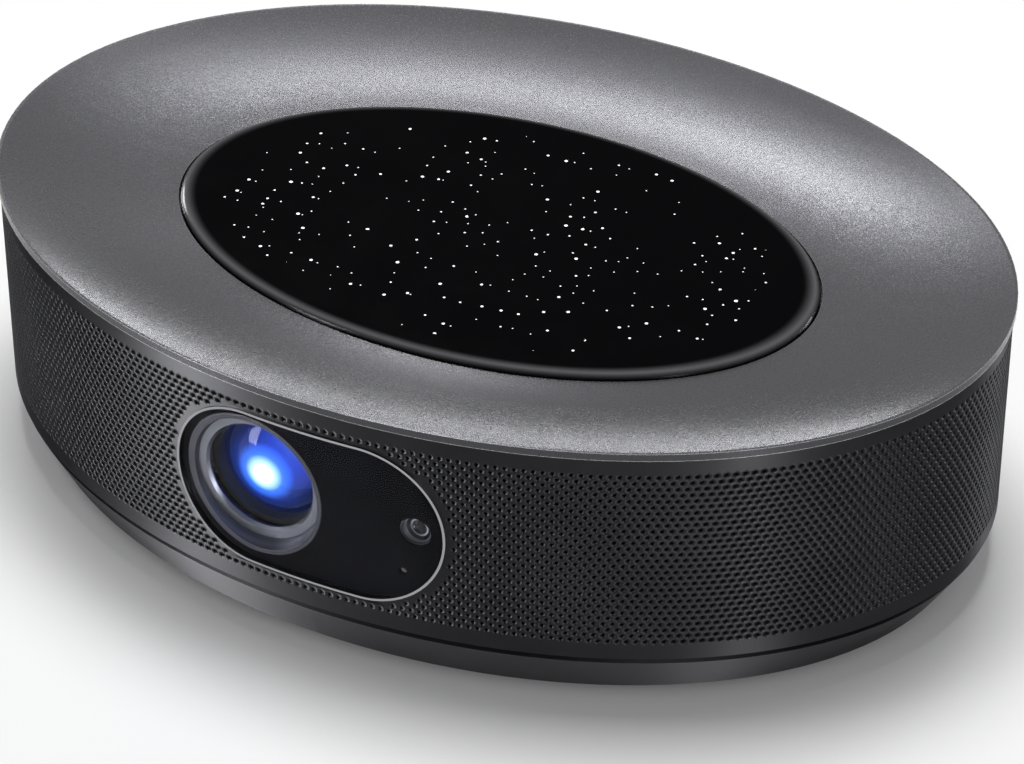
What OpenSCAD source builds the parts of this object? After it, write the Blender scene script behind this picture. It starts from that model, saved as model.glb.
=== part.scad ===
// Home projector: an oval housing with a grille band, a dished cover and a geared focus drive
// Lengths are in millimetres. X runs along the housing, -Y is the front, Z is up from the table

/* [Housing] */
// Overall length
body_length = 350; // [330:1:380]
// Overall width
body_width = 248; // [240:1:270]
// Height from the table to the rim
body_height = 96.5; // [95:0.5:106]
// Height of the rubber feet below the base
foot_height = 3; // [2:0.5:5]
// Diameter of a foot
foot_diameter = 22; // [16:1:28]
// Height of the base
base_height = 14; // [12:0.5:16]
// How far the base draws in towards the table
base_inset = 7.4; // [4:0.1:10]
// Height of the dark groove between base and grille
groove_height = 2.2; // [1.5:0.1:3]

/* [Walls] */
// Sheet thickness of the grille band
band_wall = 1; // [0.8:0.1:1.4]
// Step from the cover's rim in to the grille band
band_inset = 0.6; // [0.4:0.1:1]
// Room between the grille band and the side frame
frame_gap = 0.4; // [0.3:0.1:0.6]
// Wall of the side frame
frame_wall = 2.2; // [1.8:0.1:2.8]
// Thickness of the side frame's lower flange
flange_thick = 4; // [3:0.5:5]
// Width of the side frame's lower flange
flange_width = 21; // [18:0.5:24]
// Wall of the base
base_wall = 3; // [2.4:0.1:4]
// Floor of the base
floor_wall = 2.5; // [2:0.1:3]
// Sheet thickness of the chassis plate
chassis_wall = 1.5; // [1:0.1:2]
// Room between fixed pieces that slip into each other
fit_gap = 0.3; // [0.2:0.05:0.5]
// Running clearance round turning and sliding pieces
run_gap = 0.05; // [0.03:0.01:0.09]

/* [Cover and touch panel] */
// Depth of the dish from the rim to the touch panel
dish_depth = 10.9; // [9:0.1:12]
// Wall of the cover
cover_wall = 2.4; // [2:0.1:2.8]
// Flat land along the rim
rim_land = 0.8; // [0.4:0.1:1.2]
// Height of the rim's side face
rim_face = 2.6; // [2:0.1:3]
// Length of the touch panel
panel_length = 223.6; // [210:0.2:230]
// Width of the touch panel
panel_width = 143.5; // [134:0.5:150]
// How far the touch panel stands above the dish
panel_rise = 2.2; // [1.5:0.1:3]
// Rounding of the touch panel's edge
panel_edge = 2.4; // [1.5:0.1:3]
// Thickness of the touch panel's plate
panel_plate = 2.2; // [1.8:0.1:2.8]
// Gap round the touch panel
panel_gap = 0.6; // [0.4:0.1:1]
// Depth of the panel's seat below the dish
ledge_drop = 3.4; // [3.2:0.1:3.6]
// Width of the panel's seat
ledge_width = 8; // [6:0.5:10]
// Thickness of the panel's seat
ledge_wall = 1.5; // [1.2:0.1:1.8]
// Thickness of the gasket under the panel
gasket_thick = 0.5; // [0.3:0.1:0.8]
// Thickness of the circuit boards
board_thick = 1.6; // [1.2:0.1:2]

/* [Front window] */
// Length of the window over its trim
window_length = 95.8; // [90:0.2:100]
// Height of the window over its trim
window_height = 57; // [55:0.5:59]
// Height of the window's centre above the table
window_z = 56.9; // [56:0.1:58]
// Width of the window trim
trim_width = 0.8; // [0.6:0.1:1.4]
// Thickness of the window glass
glass_wall = 1.4; // [1:0.1:1.8]
// Thickness of the black mask behind the glass
mask_wall = 1.2; // [0.8:0.1:1.4]
// Place of the autofocus camera along the window
camera_x = 37; // [35:0.5:37]
// Radius of the autofocus camera's body
camera_r = 6.4; // [6:0.1:6.6]
// Drop of the light sensor below the window's centre
sensor_drop = 15.7; // [14:0.1:17]

/* [Lens and focus drive] */
// Radius of the shroud at the window
shroud_r = 25.2; // [24:0.1:25.4]
// Wall of the shroud's front lip
shroud_lip = 0.9; // [0.6:0.1:1.2]
// Depth of the lens trim ring behind the front of the housing
trim_depth = 7.5; // [7:0.1:9]
// Outer radius of the lens trim ring
ring_r = 22.1; // [21.4:0.1:22.4]
// Inner radius of the lens trim ring
ring_hole_r = 18.6; // [17.6:0.1:19]
// Radius of the lens barrel
barrel_r = 19.95; // [19:0.05:20]
// Length of the lens barrel
barrel_length = 50; // [46:1:52]
// Travel of the lens barrel either way
focus_travel = 2; // [1.5:0.1:2.4]
// Wall of the lens mount's tube
mount_wall = 3; // [2.6:0.1:3.2]
// Gear module of the focus drive
gear_module = 0.8; // [0.8:0.1:0.9]
// Teeth on the focus ring
ring_teeth = 64; // [62:2:68]
// Teeth on the pinion
pinion_teeth = 18; // [17:1:20]
// Face width of the focus gears
gear_width = 8; // [6:0.5:9]
// Direction of the pinion from the lens axis
pinion_angle = 215; // [205:1:225]
// Radius of the focus motor
motor_r = 7.5; // [6:0.5:8]
// Radius of the thin shafts of pinion and fans
shaft_r = 1.5; // [1.2:0.1:1.8]

/* [Optical engine and cooling] */
// Width of the engine housing
engine_width = 84; // [80:1:88]
// Room between the engine housing and the fans
fan_room = 34; // [30:1:40]
// Room between the fans and the port plate
rear_room = 30.8; // [28:0.2:36]
// Height of the engine housing
engine_height = 42; // [40:0.5:43]
// Wall of the engine housing
engine_wall = 2.5; // [2:0.1:3]
// Side of a light module
led_size = 24; // [20:1:26]
// Fins of the cooler
fin_count = 11; // [8:1:13]
// Thickness of a fin
fin_thick = 0.8; // [0.6:0.1:1]
// Spacing of the fins
fin_pitch = 2.6; // [2.2:0.1:2.7]
// Side of a fan
fan_size = 53; // [50:1:54]
// Depth of a fan
fan_depth = 15; // [14:0.5:17]
// Blades on a fan
fan_blades = 7; // [5:1:9]
// Distance of a fan from the middle
fan_x = 70; // [68:0.5:72]

/* [Speakers] */
// Place of the speakers round the oval, from its long axis
speaker_angle = 30; // [28:1:33]
// Radius of a speaker's flange
speaker_r = 22.8; // [20:0.1:23]
// Depth of a speaker behind its flange
speaker_depth = 25; // [24:0.5:27]
// Travel of a speaker cone either way
cone_travel = 2; // [1:0.5:2.5]
// Place of the speaker boxes' inner walls
speaker_box_x = 102; // [100:0.5:104]
// Top of the speaker boxes above the table
speaker_box_top = 76; // [75:0.5:78]

/* [Ports] */
// Length of the port recess
port_length = 104; // [100:1:108]
// Height of the port recess
port_height = 30; // [28:0.5:32]
// Height of the ports above the table
port_z = 44; // [43:0.5:46]
// Depth of the port plate behind the rear of the housing
port_depth = 14; // [13:0.5:15]
// Radius of the power button
button_r = 4.3; // [3.6:0.1:4.6]
// Travel of the power button
button_travel = 0.8; // [0.5:0.1:1]

/* [Hidden] */
$fn = 96;
stretch = body_length / body_width;
rim_r = body_width / 2;
base_top = foot_height + base_height;
floor_top = foot_height + floor_wall;
band_bottom = base_top + groove_height;
band_top = body_height - rim_face - fit_gap;
band_r = rim_r - band_inset;
frame_r = band_r - band_wall - frame_gap;
frame_in = frame_r - frame_wall;
frame_bottom = band_bottom + 1;
flange_top = frame_bottom + flange_thick;
chassis_top = flange_top + chassis_wall;
dish_z = body_height - dish_depth;
dish_in = panel_width / 2;
dish_run = rim_r - rim_land - dish_in;
dish_arc = (pow(dish_run, 2) + pow(dish_depth, 2)) / (2 * dish_depth);
rim_wall = band_inset + band_wall + frame_gap + 1;
ledge_top = dish_z - ledge_drop;
well_wall = 2.2;
panel_bottom = ledge_top + gasket_thick;
panel_top = dish_z + panel_rise;
skirt_wall = 1.8;
skirt_low = dish_z + 0.9;
screw_r = 1.2;
screw_head_r = 2.4;
screw_head = 2.2;
cover_post_r = 4;
cover_post_rho = frame_in - 7;
cover_post_angles = [12, 66, 114, 168, 192, 246, 294, 348];
tab_top = skirt_low - 1.3;
tab_thick = 3;
tab_r = 11;
base_post_r = 5;
base_post_rho = frame_in - 13;
base_post_angles = [0, 58, 122, 180, 238, 302];
base_screw_seat = foot_height + 5;
spigot_r = frame_r - 1.2;
spigot_wall = 4;
front_y = -rim_r;
lens_x = (window_height - window_length) / 2;
lens_z = window_z;
trim_in = frame_in - 0.4;
trim_lip = 1.2;
glass_r = band_r - 0.2;
mask_r = glass_r - glass_wall - 0.2;
mask_in = mask_r - mask_wall;
ring_y = front_y + trim_depth;
ring_thick = 1.5;
shroud_back = 1.2;
shroud_hole_r = barrel_r + 0.55;
barrel_y = ring_y + ring_thick + focus_travel + 1;
mount_bore_r = barrel_r + run_gap;
mount_r = mount_bore_r + mount_wall - run_gap;
gear_y = front_y + 32;
ring_pitch_r = gear_module * ring_teeth / 2;
pinion_pitch_r = gear_module * pinion_teeth / 2;
tooth_slack = 0.05;
gear_distance = ring_pitch_r + pinion_pitch_r + tooth_slack;
pinion_x = lens_x + gear_distance * cos(pinion_angle);
pinion_z = lens_z + gear_distance * sin(pinion_angle);
engine_y = front_y + 68;
mount_flange = 4;
led_thick = 3;
cold_plate = 3;
pipe_length = fin_count * fin_pitch + 3;
cooler_gap = 3;
engine_x = -speaker_box_x + cooler_gap + pipe_length + cold_plate + led_thick;
engine_low = lens_z - engine_height / 2 - 1.4;
engine_top = engine_low + engine_height;
lid_thick = 2;
led_hole_r = 9;
port_plate = 2.2;
port_y = rim_r - port_depth;
port_back = port_y - port_plate;
fan_y = port_back - rear_room - fan_depth;
engine_depth = fan_y - fan_room - engine_y;
led_front_y = engine_y + engine_depth * 0.32;
led_back_y = engine_y + engine_depth * 0.74;
cold_x = engine_x - led_thick - cold_plate;
pipe_r = 3;
fin_start = cold_x - 1.6;
fan_z = chassis_top + fan_size / 2;
fan_bore_r = fan_size / 2 - 1.6;
hub_r = 10.5;
bush_r = 3.2;
speaker_z = (flange_top + speaker_box_top) / 2;
collar_r = speaker_r + 0.6;
collar_depth = 9;
speaker_hole_r = speaker_r - 3;
box_wall = 2;
box_r = frame_in - 1.4;
port_wall = 1.8;
main_top = port_z - 4;
main_low = main_top - board_thick;
socket_gap = 0.2;
dc_x = -40;
hdmi_xs = [-22, -2];
usb_x = 16;
audio_x = 29.5;
button_x = 41;
base_screw_r = screw_r + 0.2;
base_head_r = 2.9;
insert_r = 5;
insert_bore_r = 2.55;
insert_length = 9;
foot_x = body_length * 0.31;
foot_y = body_width * 0.23;
foot_recess = 0.6;
vent_count = 9;
vent_start = 28;
vent_pitch = 8;
vent_length = 56;
vent_width = 3;
outlet_height = 4.5;
sensor_x = camera_x - 4;
sensor_r = 1.2;
camera_glass_r = 3;
camera_bulge = 6;
camera_back = front_y + 20;
camera_plate = 9;
sensor_body_r = 2.6;
sensor_plate = 4;
sensor_y = front_y + 12;
sensor_thick = 1.6;
lens_r = barrel_r - 2.1;
lens_rim = 5;
lens_bulge = 6.5;
lens_curve = (pow(lens_r, 2) + pow(lens_bulge, 2)) / (2 * lens_bulge);
lens_proud = 2.5;
lens_seat = barrel_y + lens_rim + lens_bulge - lens_proud;
rear_lens_r = lens_r - 2.4;
rear_curve = 30;
prism_side = 22;
prism_y = engine_y + 8;
prism_low = lens_z - prism_side / 2;
imager_thick = 1.4;
sink_half = 14;
sink_fins = 8;
sink_fin = 1.4;
post_r = 3.5;
motor_length = gear_y * -1 + engine_y - mount_flange - gear_width - 3;
fin_front = engine_y + 18;
fin_back = fan_y - 4;
pipe_places = [for (k = [0.4, 0.76], z = [-9, 9]) [engine_y + k * engine_depth, lens_z + z]];
coil_r = 9.8;
magnet_r = 14.5;
main_strip_y = fan_y + fan_depth + 9;
main_front_y = fan_y - 14;
main_half = fan_x - fan_size / 2 - 5;
main_posts = [for (x = [-1, 1]) each [[x * 44, main_strip_y + 6], [x * (main_half - 5), main_front_y + 5]]];
power_low = chassis_top + 5;
power_x = 46;
power_y = engine_y - 12;
power_width = 50;
power_depth = 104;
power_posts = [for (x = [6, power_width - 6], y = [6, power_depth - 6]) [power_x + x, power_y + y]];
hdmi_w = 15;
hdmi_h = 5.6;
usb_w = 14.5;
usb_h = 7;
audio_r = 3.6;
audio_bore_r = 1.8;
dc_r = 4.6;
dc_bore_r = 2.9;
speaker_sides = [[-1, -1], [1, -1], [-1, 1], [1, 1]];

// Height of the cover's underside at a radius measured across the width
function dish_under(rho) = dish_z + dish_arc - sqrt(pow(dish_arc + cover_wall, 2) - pow(rho - dish_in, 2));

// Point on the oval at a radius measured across the width
function oval_point(rho, angle) = [stretch * rho * cos(angle), rho * sin(angle), 0];

// Involute function in degrees
function involute(angle) = tan(angle) * 180 / PI - angle;

// Half the angle of a tooth at a radius
function tooth_half(teeth, radius) =
  let (pitch = gear_module * teeth / 2)
  let (base = pitch * cos(20))
  let (roll = radius > base ? involute(acos(base / radius)) : 0)
  90 / teeth - tooth_slack / pitch * 180 / PI + involute(20) - roll;

function polar(radius, angle) = radius * [cos(angle), sin(angle)];

// Both flanks of one tooth
function tooth_points(teeth, turn) =
  let (pitch = gear_module * teeth / 2)
  let (radii = [for (k = [-1.2, -0.45, 0.1, 0.9]) pitch + k * gear_module])
  concat(
    [for (r = radii) polar(r, turn - tooth_half(teeth, r))],
    [for (i = [3 : -1 : 0]) polar(radii[i], turn + tooth_half(teeth, radii[i]))]
  );

// Gear outline with one tooth pointing at the given angle
module gear_outline(teeth, start) {
  polygon([for (i = [0 : teeth - 1]) each tooth_points(teeth, start + i * 360 / teeth)]);
}

// Children stretched from a round shape to the housing's oval
module oval() {
  scale([stretch, 1, 1]) children();
}

// Section spun about Z in quarters and stretched to an oval
module oval_spin(ratio) {
  for (quarter = [0 : 3])
    scale([ratio, 1, 1]) rotate(90 * quarter) rotate_extrude(angle = 90) children();
}

module oval_disc(radius, low, high) {
  oval() translate([0, 0, low]) cylinder(r = radius, h = high - low);
}

module oval_ring(outer, inner, low, high) {
  oval_spin(stretch) translate([inner, low]) square([outer - inner, high - low]);
}

// Ellipse prism with the touch panel's proportions, grown by a margin
module panel_disc(margin, low, high) {
  translate([0, 0, low])
    scale([(panel_length / 2 + margin) / (panel_width / 2 + margin), 1, 1])
      cylinder(r = panel_width / 2 + margin, h = high - low);
}

module slot_outline(length, height) {
  square([length - height, height], center = true);
  for (side = [-1, 1]) translate([side * (length - height) / 2, 0]) circle(d = height);
}

// Round-ended prism along Y between two places
module slot_prism(length, height, z, y_low, y_high) {
  translate([0, y_high, z])
    rotate([90, 0, 0])
      linear_extrude(height = y_high - y_low) slot_outline(length, height);
}

// Cylinder along Y between two places
module rod_y(radius, x, z, y_low, y_high) {
  translate([x, y_high, z]) rotate([90, 0, 0]) cylinder(r = radius, h = y_high - y_low);
}

// Box between two corners
module block(low, high) {
  translate(low) cube(high - low);
}

// Children revolved about the lens axis, drawn as radius and place along Y
module about_lens() {
  translate([lens_x, 0, lens_z]) rotate([-90, 0, 0]) rotate_extrude() children();
}

// Top cover: dished oval with a seat for the touch panel, a skirt and screw posts
module cover_section() {
  difference() {
    translate([dish_in - 4, dish_z - cover_wall]) square([rim_r - dish_in + 4, dish_depth + cover_wall]);
    translate([dish_in, dish_z + dish_arc]) circle(r = dish_arc);
    translate([0, dish_z]) square([dish_in, dish_arc]);
    difference() {
      translate([dish_in, dish_z - cover_wall - 1]) square([rim_r - rim_wall - dish_in, dish_depth + 1]);
      translate([dish_in, dish_z + dish_arc]) circle(r = dish_arc + cover_wall);
    }
    translate([rim_r - rim_wall, dish_z - cover_wall - 1])
      square([rim_wall + 1, dish_depth + cover_wall + 1 - rim_face]);
  }
  skirt_r = frame_in - fit_gap;
  translate([skirt_r - skirt_wall, skirt_low])
    square([skirt_wall, dish_under(skirt_r) + cover_wall / 4 - skirt_low]);
}

module top_cover() {
  color("#5c5d62") {
    difference() {
      union() {
        oval_spin(stretch) cover_section();
        for (a = cover_post_angles)
          translate(oval_point(cover_post_rho, a) + [0, 0, tab_top])
            cylinder(r = cover_post_r, h = dish_under(cover_post_rho) + cover_wall / 2 - tab_top);
        panel_disc(panel_gap + well_wall, ledge_top - ledge_wall, dish_z - cover_wall / 4);
      }
      panel_disc(panel_gap, ledge_top, body_height);
      panel_disc(-ledge_width, ledge_top - ledge_wall - 1, ledge_top + 1);
      for (a = cover_post_angles)
        translate(oval_point(cover_post_rho, a) + [0, 0, tab_top - 1])
          cylinder(r = screw_r + run_gap, h = 4);
    }
  }
}

// Touch panel: a gloss cap with a rounded edge
module touch_panel() {
  panel_r = panel_width / 2;
  color("#101013")
    oval_spin(panel_length / panel_width)
      difference() {
        union() {
          translate([0, panel_bottom]) square([panel_r - panel_edge, panel_top - panel_bottom]);
          translate([0, panel_bottom]) square([panel_r, panel_top - panel_edge - panel_bottom]);
          translate([panel_r - panel_edge, panel_top - panel_edge]) circle(r = panel_edge);
        }
        translate([-1, panel_bottom - 1])
          square([panel_r - ledge_width / 2 + 1, panel_top - panel_plate - panel_bottom + 1]);
      }
}

module panel_gasket() {
  color("#2b2b2d")
    difference() {
      panel_disc(-0.4, ledge_top, panel_bottom);
      panel_disc(-ledge_width / 2 - 0.4, ledge_top - 1, panel_bottom + 1);
    }
}

// Touch board bonded under the panel's plate
module touch_board() {
  board_top = panel_top - panel_plate;
  board_under = board_top - board_thick;
  chip_step = 36;
  color("#1f5b3c") {
    panel_disc(-ledge_width / 2 - 6, board_under, board_top);
    for (x = [-chip_step, 0, chip_step])
      block([x - 5, 20, board_under - 1.2], [x + 5, 30, board_under]);
    block([-60, -6, board_under - 2], [-44, 6, board_under]);
  }
}

module cover_screws() {
  color("#8d8f93")
    for (a = cover_post_angles)
      translate(oval_point(cover_post_rho, a) + [0, 0, tab_top - tab_thick]) {
        translate([0, 0, -screw_head]) cylinder(r = screw_head_r, h = screw_head);
        cylinder(r = screw_r, h = tab_thick + 2.5);
      }
}

// Grille band: a sheet-metal oval with the window and port openings, its fine perforation left plain
module grille_band() {
  color("#3a3b3f")
    difference() {
      oval_ring(band_r, band_r - band_wall, band_bottom, band_top);
      slot_prism(window_length + 2 * fit_gap, window_height + 2 * fit_gap, window_z, -body_width, 0);
      slot_prism(port_length + 2 * fit_gap, port_height + 2 * fit_gap, port_z, 0, body_width);
    }
}

// Stands children on the side frame's wall at a speaker, Z outwards
module speaker_place(side_x, side_y) {
  turn = atan2(side_y * sin(speaker_angle), side_x * cos(speaker_angle) / stretch);
  point = [
    side_x * stretch * frame_r * cos(speaker_angle),
    side_y * frame_r * sin(speaker_angle),
    speaker_z
  ];
  translate(point) rotate([0, 0, turn]) rotate([0, 90, 0]) children();
}

// Side frame: the moulded wall that carries speakers, cover and chassis
module side_frame() {
  frame_top = dish_under(frame_in) - 0.6;
  vent_half = fan_size / 2 - 4;
  color("#232326")
    difference() {
      union() {
        oval_ring(frame_r, frame_in, frame_bottom, frame_top);
        oval_ring(frame_in + frame_wall / 2, frame_in - flange_width, frame_bottom, flange_top);
        intersection() {
          oval_disc(frame_r - frame_wall / 2, frame_bottom, frame_top);
          for (a = cover_post_angles)
            translate(oval_point(cover_post_rho, a) + [0, 0, tab_top - tab_thick])
              cylinder(r = tab_r, h = tab_thick);
        }
        intersection() {
          oval_disc(frame_r - frame_wall / 2, frame_bottom, frame_top);
          for (s = speaker_sides)
            speaker_place(s[0], s[1])
              translate([0, 0, -collar_depth]) cylinder(r = collar_r, h = collar_depth);
        }
      }
      for (s = speaker_sides)
        speaker_place(s[0], s[1])
          translate([0, 0, -collar_depth - 1]) cylinder(r = speaker_hole_r, h = collar_depth + 5);
      slot_prism(window_length + 2 * fit_gap, window_height + 2 * fit_gap, window_z, -body_width, 0);
      slot_prism(port_length + 2 * fit_gap, port_height + 2 * fit_gap, port_z, rim_r / 2, body_width);
      for (side = [-1, 1], i = [0 : 4])
        translate([side * fan_x, 0, flange_top + 6 + i * 2 * outlet_height])
          block([-vent_half, rim_r / 2 + 20, 0], [vent_half, body_width, outlet_height]);
      for (a = cover_post_angles)
        translate(oval_point(cover_post_rho, a) + [0, 0, tab_top - tab_thick - 1])
          cylinder(r = screw_r + 0.3, h = tab_thick + 2);
      for (a = base_post_angles)
        translate(oval_point(base_post_rho, a) + [0, 0, frame_bottom - 1])
          cylinder(r = base_screw_r + run_gap, h = flange_thick + 2);
    }
}

// Chassis plate: sheet steel on the frame's flange, with posts for the boards
module chassis_plate() {
  plate_r = frame_in - flange_width + 8;
  plate_x = speaker_box_x - 2;
  color("#9a9ca0") {
    difference() {
      intersection() {
        oval_disc(plate_r, flange_top, chassis_top);
        block([-plate_x, -body_width, flange_top - 1], [plate_x, body_width, chassis_top + 1]);
      }
      for (x = [-80 : 12 : 80], y = [-plate_r * 0.785, 40])
        translate([x, y, flange_top - 1]) cylinder(r = 4, h = chassis_wall + 2);
    }
    for (p = main_posts)
      translate([p[0], p[1], chassis_top]) cylinder(r = post_r, h = main_low - chassis_top);
    for (p = power_posts)
      translate([p[0], p[1], chassis_top]) cylinder(r = post_r, h = power_low - chassis_top);
  }
}

// Base: tapered oval tray with a spigot, screw posts, vents and a tripod boss
module base_section() {
  polygon([
    [0, foot_height],
    [rim_r - base_inset, foot_height],
    [rim_r - band_inset * 2, base_top],
    [spigot_r, base_top],
    [spigot_r, frame_bottom],
    [spigot_r - spigot_wall, frame_bottom],
    [spigot_r - spigot_wall, base_top],
    [rim_r - base_inset - base_wall, floor_top],
    [0, floor_top]
  ]);
}

module base_cover() {
  color("#2e2f32")
    difference() {
      union() {
        oval_spin(stretch) base_section();
        for (a = base_post_angles)
          translate(oval_point(base_post_rho, a) + [0, 0, foot_height])
            cylinder(r = base_post_r, h = frame_bottom - foot_height);
        translate([0, 0, foot_height]) cylinder(r = insert_r + 4, h = insert_length + 2);
      }
      for (a = base_post_angles)
        translate(oval_point(base_post_rho, a)) {
          translate([0, 0, foot_height - 1])
            cylinder(r = base_head_r + fit_gap, h = base_screw_seat - foot_height + 1);
          cylinder(r = base_screw_r + fit_gap, h = body_height);
        }
      translate([0, 0, foot_height - 1]) cylinder(r = insert_r + run_gap, h = insert_length + 1);
      for (x = [-1, 1], y = [-1, 1])
        translate([x * foot_x, y * foot_y, foot_height - 1])
          cylinder(d = foot_diameter + fit_gap, h = 1 + foot_recess);
      for (side = [-1, 1], i = [0 : vent_count - 1])
        translate([side * (vent_start + i * vent_pitch), 0, foot_height - 1])
          linear_extrude(height = floor_wall + 2)
            rotate(90) slot_outline(vent_length, vent_width);
    }
}

module rubber_feet() {
  color("#1c1c1d")
    for (x = [-1, 1], y = [-1, 1])
      translate([x * foot_x, y * foot_y, 0])
        rotate_extrude()
          polygon([
            [0, 0],
            [foot_diameter / 2 - 1.2, 0],
            [foot_diameter / 2, 1.2],
            [foot_diameter / 2, foot_height + foot_recess],
            [0, foot_height + foot_recess]
          ]);
}

module base_screws() {
  color("#8d8f93")
    for (a = base_post_angles)
      translate(oval_point(base_post_rho, a) + [0, 0, base_screw_seat])
        difference() {
          union() {
            translate([0, 0, -screw_head]) cylinder(r = base_head_r, h = screw_head);
            cylinder(r = base_screw_r, h = flange_top - 1 - base_screw_seat);
          }
          translate([0, 0, -screw_head - 1]) cylinder(r = 1.1, h = 2.2, $fn = 6);
        }
}

// Threaded insert for a tripod, open downwards
module tripod_insert() {
  color("#c9a24b")
    translate([0, 0, foot_height])
      difference() {
        cylinder(r = insert_r, h = insert_length);
        translate([0, 0, -1]) cylinder(r = insert_bore_r, h = insert_length + 2);
      }
}

// Round-ended ring that follows the front wall between two radii
module front_slot(outer_r, inner_r, length, height) {
  difference() {
    intersection() {
      oval_disc(outer_r, window_z - window_height, window_z + window_height);
      slot_prism(length, height, window_z, -body_width, -rim_r / 2);
    }
    oval_disc(inner_r, window_z - window_height - 1, window_z + window_height + 1);
  }
}

module window_trim() {
  inner_length = window_length - 2 * trim_width;
  inner_height = window_height - 2 * trim_width;
  lip_r = mask_in - 0.2;
  color("#c4c7cc")
    difference() {
      front_slot(rim_r, trim_in, window_length, window_height);
      difference() {
        slot_prism(inner_length, inner_height, window_z, -body_width, 0);
        oval_disc(lip_r, 0, body_height);
      }
      slot_prism(inner_length - 2 * trim_lip, inner_height - 2 * trim_lip, window_z, -body_width, 0);
    }
}

module front_window() {
  inset = 2 * (trim_width + run_gap * 2);
  color("#15151a")
    front_slot(glass_r, glass_r - glass_wall, window_length - inset, window_height - inset);
}

// Mask behind the glass, open for the lens, the camera and the light sensor
module window_mask() {
  inset = 2 * (trim_width + run_gap * 2);
  color("#0c0c0d")
    difference() {
      front_slot(mask_r, mask_in, window_length - inset, window_height - inset);
      rod_y(shroud_r + fit_gap / 2, lens_x, lens_z, -body_width, 0);
      rod_y(camera_r - 1.2, camera_x, lens_z, -body_width, 0);
      rod_y(sensor_r, sensor_x, lens_z - sensor_drop, -body_width, 0);
    }
}

// Conical shroud between the mask and the lens, with a seat for the trim ring
module lens_shroud() {
  color("#6d6f74")
    intersection() {
      about_lens()
        polygon([
          [shroud_r - shroud_lip, front_y],
          [shroud_r, front_y],
          [shroud_r, ring_y + ring_thick + shroud_back],
          [shroud_hole_r, ring_y + ring_thick + shroud_back],
          [shroud_hole_r, ring_y + ring_thick],
          [ring_r + fit_gap / 2, ring_y + ring_thick],
          [ring_r + fit_gap / 2, ring_y]
        ]);
      oval_disc(mask_r, 0, body_height);
    }
}

module lens_trim_ring() {
  color("#b9bbc0")
    about_lens()
      polygon([
        [ring_hole_r, ring_y + ring_thick],
        [ring_hole_r, ring_y + 0.9],
        [ring_hole_r + 0.8, ring_y],
        [ring_r, ring_y],
        [ring_r, ring_y + ring_thick]
      ]);
}

module camera_module() {
  color("#19191b")
    difference() {
      union() {
        intersection() {
          rod_y(camera_r, camera_x, lens_z, -body_width, camera_back);
          oval_disc(mask_in - 0.2, 0, body_height);
        }
        block(
          [camera_x - camera_plate, camera_back, lens_z - camera_plate],
          [camera_x + camera_plate, camera_back + 3, lens_z + camera_plate]
        );
      }
      translate([camera_x, 0, lens_z])
        rotate([-90, 0, 0])
          rotate_extrude()
            polygon([
              [0, front_y - 1],
              [camera_r - 0.6, front_y - 1],
              [camera_glass_r, camera_back - 5],
              [0, camera_back - 5]
            ]);
      rod_y(camera_glass_r, camera_x, lens_z, camera_back - 6, camera_back - 2);
    }
}

module camera_lens() {
  color("#20242c")
    translate([camera_x, 0, lens_z])
      rotate([-90, 0, 0])
        rotate_extrude()
          difference() {
            translate([0, camera_back - 6]) square([camera_glass_r - run_gap, 4]);
            difference() {
              translate([-1, camera_back - 7]) square([camera_glass_r + 2, 3]);
              translate([0, camera_back - 6 + camera_bulge]) circle(r = camera_bulge);
            }
          }
}

module light_sensor() {
  sensor_z = lens_z - sensor_drop;
  color("#101012")
    intersection() {
      union() {
        rod_y(sensor_body_r, sensor_x, sensor_z, -body_width, sensor_y + 4);
        block(
          [sensor_x - sensor_plate, sensor_y, sensor_z - sensor_plate],
          [sensor_x + sensor_plate, sensor_y + sensor_thick, sensor_z + sensor_plate]
        );
      }
      oval_disc(mask_in - 0.2, 0, body_height);
    }
}

// Engine housing: an open box on four posts, with windows for lens, lamps and imager
module engine_housing() {
  far_x = engine_x + engine_width;
  far_y = engine_y + engine_depth;
  color("#77797e")
    difference() {
      union() {
        block([engine_x, engine_y, engine_low], [far_x, far_y, engine_top]);
        for (x = [engine_x + 7, far_x - 7], y = [engine_y + 7, far_y - 7])
          translate([x, y, chassis_top]) cylinder(r = post_r + 1, h = engine_low - chassis_top);
      }
      difference() {
        block(
          [engine_x + engine_wall, engine_y + engine_wall, engine_low + engine_wall],
          [far_x - engine_wall, far_y - engine_wall, engine_top + 1]
        );
        block(
          [lens_x - prism_side / 2, engine_y, engine_low],
          [lens_x + prism_side / 2, prism_y + prism_side, prism_low]
        );
      }
      rod_y(barrel_r - 2, lens_x, lens_z, engine_y - 1, engine_y + engine_wall + 1);
      for (y = [led_front_y, led_back_y])
        translate([engine_x - 1, y, lens_z])
          rotate([0, 90, 0]) cylinder(r = led_hole_r, h = engine_wall + 2);
      block(
        [far_x - engine_wall - 1, prism_y + 1, lens_z - 7],
        [far_x + 1, prism_y + prism_side - 1, lens_z + 7]
      );
    }
}

module engine_lid() {
  color("#6b6d72")
    difference() {
      union() {
        block(
          [engine_x, engine_y, engine_top],
          [engine_x + engine_width, engine_y + engine_depth, engine_top + lid_thick]
        );
        block(
          [engine_x + engine_wall + fit_gap, engine_y + engine_wall + fit_gap, engine_top - 2],
          [
            engine_x + engine_width - engine_wall - fit_gap,
            engine_y + engine_depth - engine_wall - fit_gap,
            engine_top + 1
          ]
        );
      }
      block(
        [engine_x + engine_wall + 3, engine_y + engine_wall + 3, engine_top - 3],
        [engine_x + engine_width - engine_wall - 3, engine_y + engine_depth - engine_wall - 3, engine_top]
      );
    }
}

module prism_block() {
  color("#c9dbe2")
    block(
      [lens_x - prism_side / 2 + 1, prism_y, prism_low],
      [lens_x + prism_side / 2 - 1, prism_y + prism_side, prism_low + prism_side]
    );
}

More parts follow.
